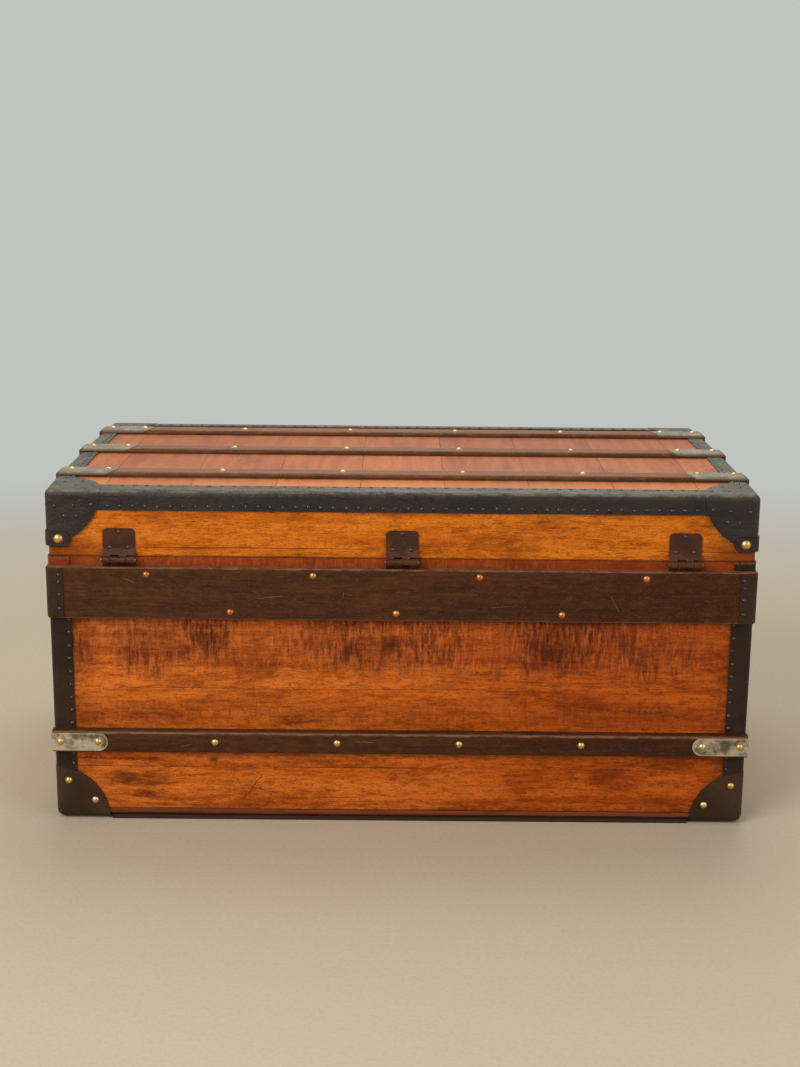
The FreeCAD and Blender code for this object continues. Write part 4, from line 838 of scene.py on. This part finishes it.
SHARED = {
    "left_end_boards": ("right_end_boards",),
    "lid_back_rail": ("lid_front_rail",),
    "lid_left_rail": ("lid_right_rail",),
    "bottom_boards": ("bottom_runners", "rim_lip"),
    "band_back": ("band_front",),
    "band_left": ("band_right",),
    "lower_slat_back": ("lower_slat_front",),
    "top_slat_back": ("top_slat_middle", "top_slat_front"),
    "lid_binding_back": ("lid_binding_front", "lid_binding_left", "lid_binding_right", "lid_corner_caps"),
    "corner_binding_back_left": ("corner_binding_back_right", "corner_binding_front_left",
                                 "corner_binding_front_right"),
    "hinge_lid_leaves": ("hinge_body_leaves", "hasp_brackets", "lock_hasp", "left_hasp", "right_hasp",
                         "side_keepers", "lock_plate"),
    "lid_hardware_nails": ("body_hardware_nails",),
    "slat_clasps": ("slat_end_caps",),
    "clamp_nails": ("lower_slat_nails", "bottom_corner_nails", "top_slat_nails"),
    "hinge_pins": ("hasp_pins", "lock_case", "lock_bolt"),
    "left_handle": ("right_handle", "handle_lugs"),
}


def dress(piece, finish):
    """Give a piece one finish all over."""
    piece.data.materials.clear()
    piece.data.materials.append(finish)


for first, finish in FINISHES.items():
    for name in (first, *SHARED.get(first, ())):
        dress(nodes[name], finish)


# Pieces that are added to the nodes

def new_piece(name, vertices, faces, finish, body):
    """A smooth mesh that moves with a body of the trunk."""
    mesh = bpy.data.meshes.new(name)
    mesh.from_pydata(vertices, [], faces)
    mesh.update()
    for face in mesh.polygons:
        face.use_smooth = True
    piece = bpy.data.objects.new(name, mesh)
    scene.collection.objects.link(piece)
    dress(piece, finish)
    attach(piece, body)
    return piece


def ring_faces(first, count):
    """Faces with four sides between a ring of points and the next ring."""
    for step in range(count):
        following = (step + 1) % count
        yield first + step, first + following, first + count + following, first + count + step


# Black tacks along the bindings

TACK_RADIUS = 0.0027
TACK_CROWN = 0.0013
TACK_SINK = 0.0004
TACK_SEGMENTS = 10
TACK_RINGS = ((1.0, -1.0), (1.0, 0.0), (0.78, 0.52), (0.42, 0.88))


def add_tack(vertices, faces, place, way, radius, stretch=1.0, crown=TACK_CROWN):
    """A domed head that faces the given way, its rim sunk into the surface, longer if stretched."""
    turn = Vector(way).to_track_quat("Z", "Y").to_matrix()
    start = len(vertices)
    for share, rise in TACK_RINGS:
        height = rise * (crown if rise > 0 else TACK_SINK)
        for step in range(TACK_SEGMENTS):
            angle = math.tau * step / TACK_SEGMENTS
            side = share * radius * math.cos(angle)
            length = share * radius * stretch * math.sin(angle)
            vertices.append(Vector(place) + turn @ Vector((side, length, height)))
    for ring in range(len(TACK_RINGS) - 1):
        faces.extend(ring_faces(start + ring * TACK_SEGMENTS, TACK_SEGMENTS))
    top = len(vertices)
    vertices.append(Vector(place) + turn @ Vector((0, 0, crown)))
    last = start + (len(TACK_RINGS) - 1) * TACK_SEGMENTS
    for step in range(TACK_SEGMENTS):
        faces.append((last + step, last + (step + 1) % TACK_SEGMENTS, top))
    faces.append(tuple(start + step for step in reversed(range(TACK_SEGMENTS))))


def lid_height(y):
    """Height of the lid's covered top at a depth."""
    return LID_EDGE + LID_CROWN * (1 - (y / HALF_DEPTH) ** 2)


def spread(low, high, pitch):
    """Evenly spaced values from low to high at about a pitch."""
    count = max(1, round((high - low) / pitch))
    return [low + (high - low) * step / count for step in range(count + 1)]


LID_TACK_PITCH = 0.0157
BODY_TACK_PITCH = 0.018
LID_ROW_HEIGHT = 0.4218
TOP_ROW_INSET = 0.0225
LONG_ROW_REACH = 0.3705
END_ROW_REACH = 0.1785
CAP_STEP = 0.0006
SLAT_PLACES = (-0.158, 0.0, 0.158)
ROOM_ON_TOP = 0.0195
ROOM_AT_END = 0.0145
CAP_TACKS = ((0.013, 0.0214), (0.037, 0.0206), (0.059, 0.0194), (0.025, 0.0354), (0.0405, 0.0343))
CAP_TOP_TACKS = ((0.020, 0.038), (0.038, 0.020), (0.060, 0.018), (0.018, 0.060), (0.042, 0.042))
WRAP_TACK_HEIGHTS = (0.334, 0.324, 0.308, 0.290)
ROW_INSET = 0.0248
FACE_ROWS = ((0.0775, 0.0935), (0.1335, 0.2730))
END_ROWS = ((0.0775, 0.0955), (0.1285, 0.2730))
WRAP_FACE_INSET = 0.0160
WRAP_END_INSET = 0.0310
WRAP_FACE = 0.2592
WRAP_END = 0.4512
TACK_JITTER = 0.0006
TACK_SIZES = (0.92, 1.06)
CHANCE_SEED = 7


def clear_of_slats(y, room):
    """True where a tack has this room beside every top slat."""
    return all(abs(y - slat) > room for slat in SLAT_PLACES)


lid_spots = []
for sign in SIDES:
    for x in spread(-LONG_ROW_REACH, LONG_ROW_REACH, LID_TACK_PITCH):
        lid_spots.append(((x, sign * HALF_DEPTH, LID_ROW_HEIGHT), (0, sign, 0)))
        y = sign * (HALF_DEPTH - TOP_ROW_INSET)
        lid_spots.append(((x, y, lid_height(y)), (0, 0, 1)))
    for y in spread(-END_ROW_REACH, END_ROW_REACH, LID_TACK_PITCH):
        if clear_of_slats(y, ROOM_ON_TOP):
            x = sign * (HALF_LENGTH - TOP_ROW_INSET)
            lid_spots.append(((x, y, lid_height(y)), (0, 0, 1)))
        if clear_of_slats(y, ROOM_AT_END):
            lid_spots.append(((sign * HALF_LENGTH, y, LID_ROW_HEIGHT), (sign, 0, 0)))
    for face in SIDES:
        for inward, down in CAP_TACKS:
            z = LID_EDGE - down
            x = sign * (HALF_LENGTH - inward)
            y = face * (HALF_DEPTH - inward)
            lid_spots.append(((x, face * (HALF_DEPTH + CAP_STEP), z), (0, face, 0)))
            lid_spots.append(((sign * (HALF_LENGTH + CAP_STEP), y, z), (sign, 0, 0)))
        for inward, back in CAP_TOP_TACKS:
            y = face * (HALF_DEPTH - back)
            lid_spots.append(((sign * (HALF_LENGTH - inward), y, lid_height(y) + CAP_STEP), (0, 0, 1)))

body_spots = []
for sign in SIDES:
    for face in SIDES:
        for low, high in FACE_ROWS:
            for z in spread(low, high, BODY_TACK_PITCH):
                body_spots.append(((sign * (HALF_LENGTH - ROW_INSET), face * HALF_DEPTH, z), (0, face, 0)))
        for low, high in END_ROWS:
            for z in spread(low, high, BODY_TACK_PITCH):
                body_spots.append(((sign * HALF_LENGTH, face * (HALF_DEPTH - ROW_INSET), z), (sign, 0, 0)))
        for z in WRAP_TACK_HEIGHTS:
            body_spots.append(((sign * (HALF_LENGTH - WRAP_FACE_INSET), face * WRAP_FACE, z), (0, face, 0)))
            body_spots.append(((sign * WRAP_END, face * (HALF_DEPTH - WRAP_END_INSET), z), (sign, 0, 0)))

chance = random.Random(CHANCE_SEED)
for name, body, spots in (("lid_tacks", "lid", lid_spots), ("body_tacks", "trunk_body", body_spots)):
    vertices = []
    faces = []
    for place, way in spots:
        moved = [value + (0 if away else chance.uniform(-TACK_JITTER, TACK_JITTER))
                 for value, away in zip(place, way)]
        add_tack(vertices, faces, moved, way, TACK_RADIUS * chance.uniform(*TACK_SIZES))
    new_piece(name, vertices, faces, FINISHES["lid_hardware_nails"], body)


# Leather grips sewn round the handle bars

GRIP_HALF = 0.036
GRIP_RADIUS = 0.0083
GRIP_END_RADIUS = 0.0064
GRIP_RINGS = 36
GRIP_SEGMENTS = 32
SEAM_RISE = 0.0009
SEAM_SPREAD = 0.20
STITCH_REACH = 0.0315
STITCH_PITCH = 0.0042
STITCH_ANGLE = 0.30
STITCH_WIDTH = 0.0005
STITCH_STRETCH = 2.8
STITCH_RISE = 0.0005
grip_finish = grip_leather("brown_grip_leather")
thread_finish = grip_thread("waxed_grip_thread")


def grip_radius(share, angle):
    """Radius of the sleeve at a share of its half length, with a raised seam along its lower side."""
    swell = GRIP_END_RADIUS + (GRIP_RADIUS - GRIP_END_RADIUS) * (1 - share ** 4)
    from_seam = (angle + math.pi) % math.tau - math.pi
    return swell + SEAM_RISE * math.exp(-((from_seam / SEAM_SPREAD) ** 2))


for side in ("left", "right"):
    low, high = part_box(f"{side}_handle_grip")
    middle = (low + high) / 2
    vertices = []
    faces = []
    for ring in range(GRIP_RINGS + 1):
        share = 2 * ring / GRIP_RINGS - 1
        for step in range(GRIP_SEGMENTS):
            angle = math.tau * step / GRIP_SEGMENTS
            radius = grip_radius(abs(share), angle)
            vertices.append((middle.x + radius * math.sin(angle), middle.y + share * GRIP_HALF,
                             middle.z - radius * math.cos(angle)))
    for ring in range(GRIP_RINGS):
        faces.extend(ring_faces(ring * GRIP_SEGMENTS, GRIP_SEGMENTS))
    faces.append(tuple(reversed(range(GRIP_SEGMENTS))))
    faces.append(tuple(GRIP_RINGS * GRIP_SEGMENTS + step for step in range(GRIP_SEGMENTS)))
    grip = new_piece(f"{side}_grip_sleeve", vertices, faces, grip_finish, f"{side}_handle")
    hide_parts(f"{side}_handle_grip")
    vertices = []
    faces = []
    for y in spread(-STITCH_REACH, STITCH_REACH, STITCH_PITCH):
        share = abs(y) / GRIP_HALF
        for seam_side in SIDES:
            angle = seam_side * STITCH_ANGLE
            way = Vector((math.sin(angle), 0, -math.cos(angle)))
            place = Vector((middle.x, middle.y + y, middle.z)) + way * grip_radius(share, angle)
            add_tack(vertices, faces, place, way, STITCH_WIDTH, STITCH_STRETCH, STITCH_RISE)
    new_piece(f"{side}_grip_stitches", vertices, faces, thread_finish, f"{side}_handle")


# Floor, light and camera

def lamp(name, place, aim, size, power, colour):
    """A round soft lamp that points at its aim."""
    data = bpy.data.lights.new(name, "AREA")
    data.shape = "DISK"
    data.size = size
    data.energy = power
    data.color = colour
    item = bpy.data.objects.new(name, data)
    item.location = place
    item.rotation_euler = (Vector(aim) - Vector(place)).to_track_quat("-Z", "Y").to_euler()
    scene.collection.objects.link(item)


FLOOR_REACH = 14.0
ROOM_LIGHT = (0.92, 0.92, 0.90)
ROOM_STRENGTH = 0.36
floor_mesh = bpy.data.meshes.new("studio_floor")
floor_mesh.from_pydata([(-FLOOR_REACH, -FLOOR_REACH, 0), (FLOOR_REACH, -FLOOR_REACH, 0),
                        (FLOOR_REACH, FLOOR_REACH, 0), (-FLOOR_REACH, FLOOR_REACH, 0)], [], [(0, 1, 2, 3)])
floor = bpy.data.objects.new("studio_floor", floor_mesh)
scene.collection.objects.link(floor)
dress(floor, pale_floor("studio_floor_paint"))

lamp("window_lamp", place=(-1.9, -2.4, 2.2), aim=(0, 0, 0.25), size=2.4, power=84.0, colour=(1.0, 0.97, 0.92))
lamp("fill_lamp", place=(2.4, -2.0, 1.6), aim=(0, 0, 0.25), size=2.2, power=26.0, colour=(1.0, 0.98, 0.94))
lamp("top_lamp", place=(0.2, 1.4, 2.8), aim=(0, 0, 0.4), size=2.4, power=48.0, colour=(0.98, 0.99, 1.0))

world = bpy.data.worlds.new("studio_room")
world.use_nodes = True
room = Nodes(world.node_tree)
ambient = room.node("ShaderNodeBackground", {"Color": ROOM_LIGHT, "Strength": ROOM_STRENGTH})
backdrop = room.node("ShaderNodeBackground", {"Color": BACKDROP, "Strength": 1.0})
shown = room.node("ShaderNodeMixShader", {0: room.seen_directly(), 1: ambient, 2: backdrop})
room.node("ShaderNodeOutputWorld", {"Surface": shown})
scene.world = world
scene.view_settings.view_transform = "Standard"

FOCAL_PIXELS = 1635.3
FRAME_HEIGHT = 1067
SENSOR = 36.0
EYE = Vector((-0.0068, -2.2548, 0.869))
PITCH = 0.2346
YAW = 0.0019
ROLL = 0.0096
ahead = Vector((math.sin(YAW), math.cos(YAW), 0))
right = Vector((math.cos(YAW), -math.sin(YAW), 0))
up = Vector((0, 0, 1))
view = ahead * math.cos(PITCH) - up * math.sin(PITCH)
view_up = up * math.cos(PITCH) + ahead * math.sin(PITCH)
frame_right = right * math.cos(ROLL) + view_up * math.sin(ROLL)
frame_up = view_up * math.cos(ROLL) - right * math.sin(ROLL)
camera_data = bpy.data.cameras.new("photo_camera")
camera_data.sensor_width = SENSOR
camera_data.lens = FOCAL_PIXELS * SENSOR / FRAME_HEIGHT
camera = bpy.data.objects.new("photo_camera", camera_data)
turn = Matrix((frame_right, frame_up, -view)).transposed().to_4x4()
camera.matrix_world = Matrix.Translation(EYE) @ turn
scene.collection.objects.link(camera)
scene.camera = camera
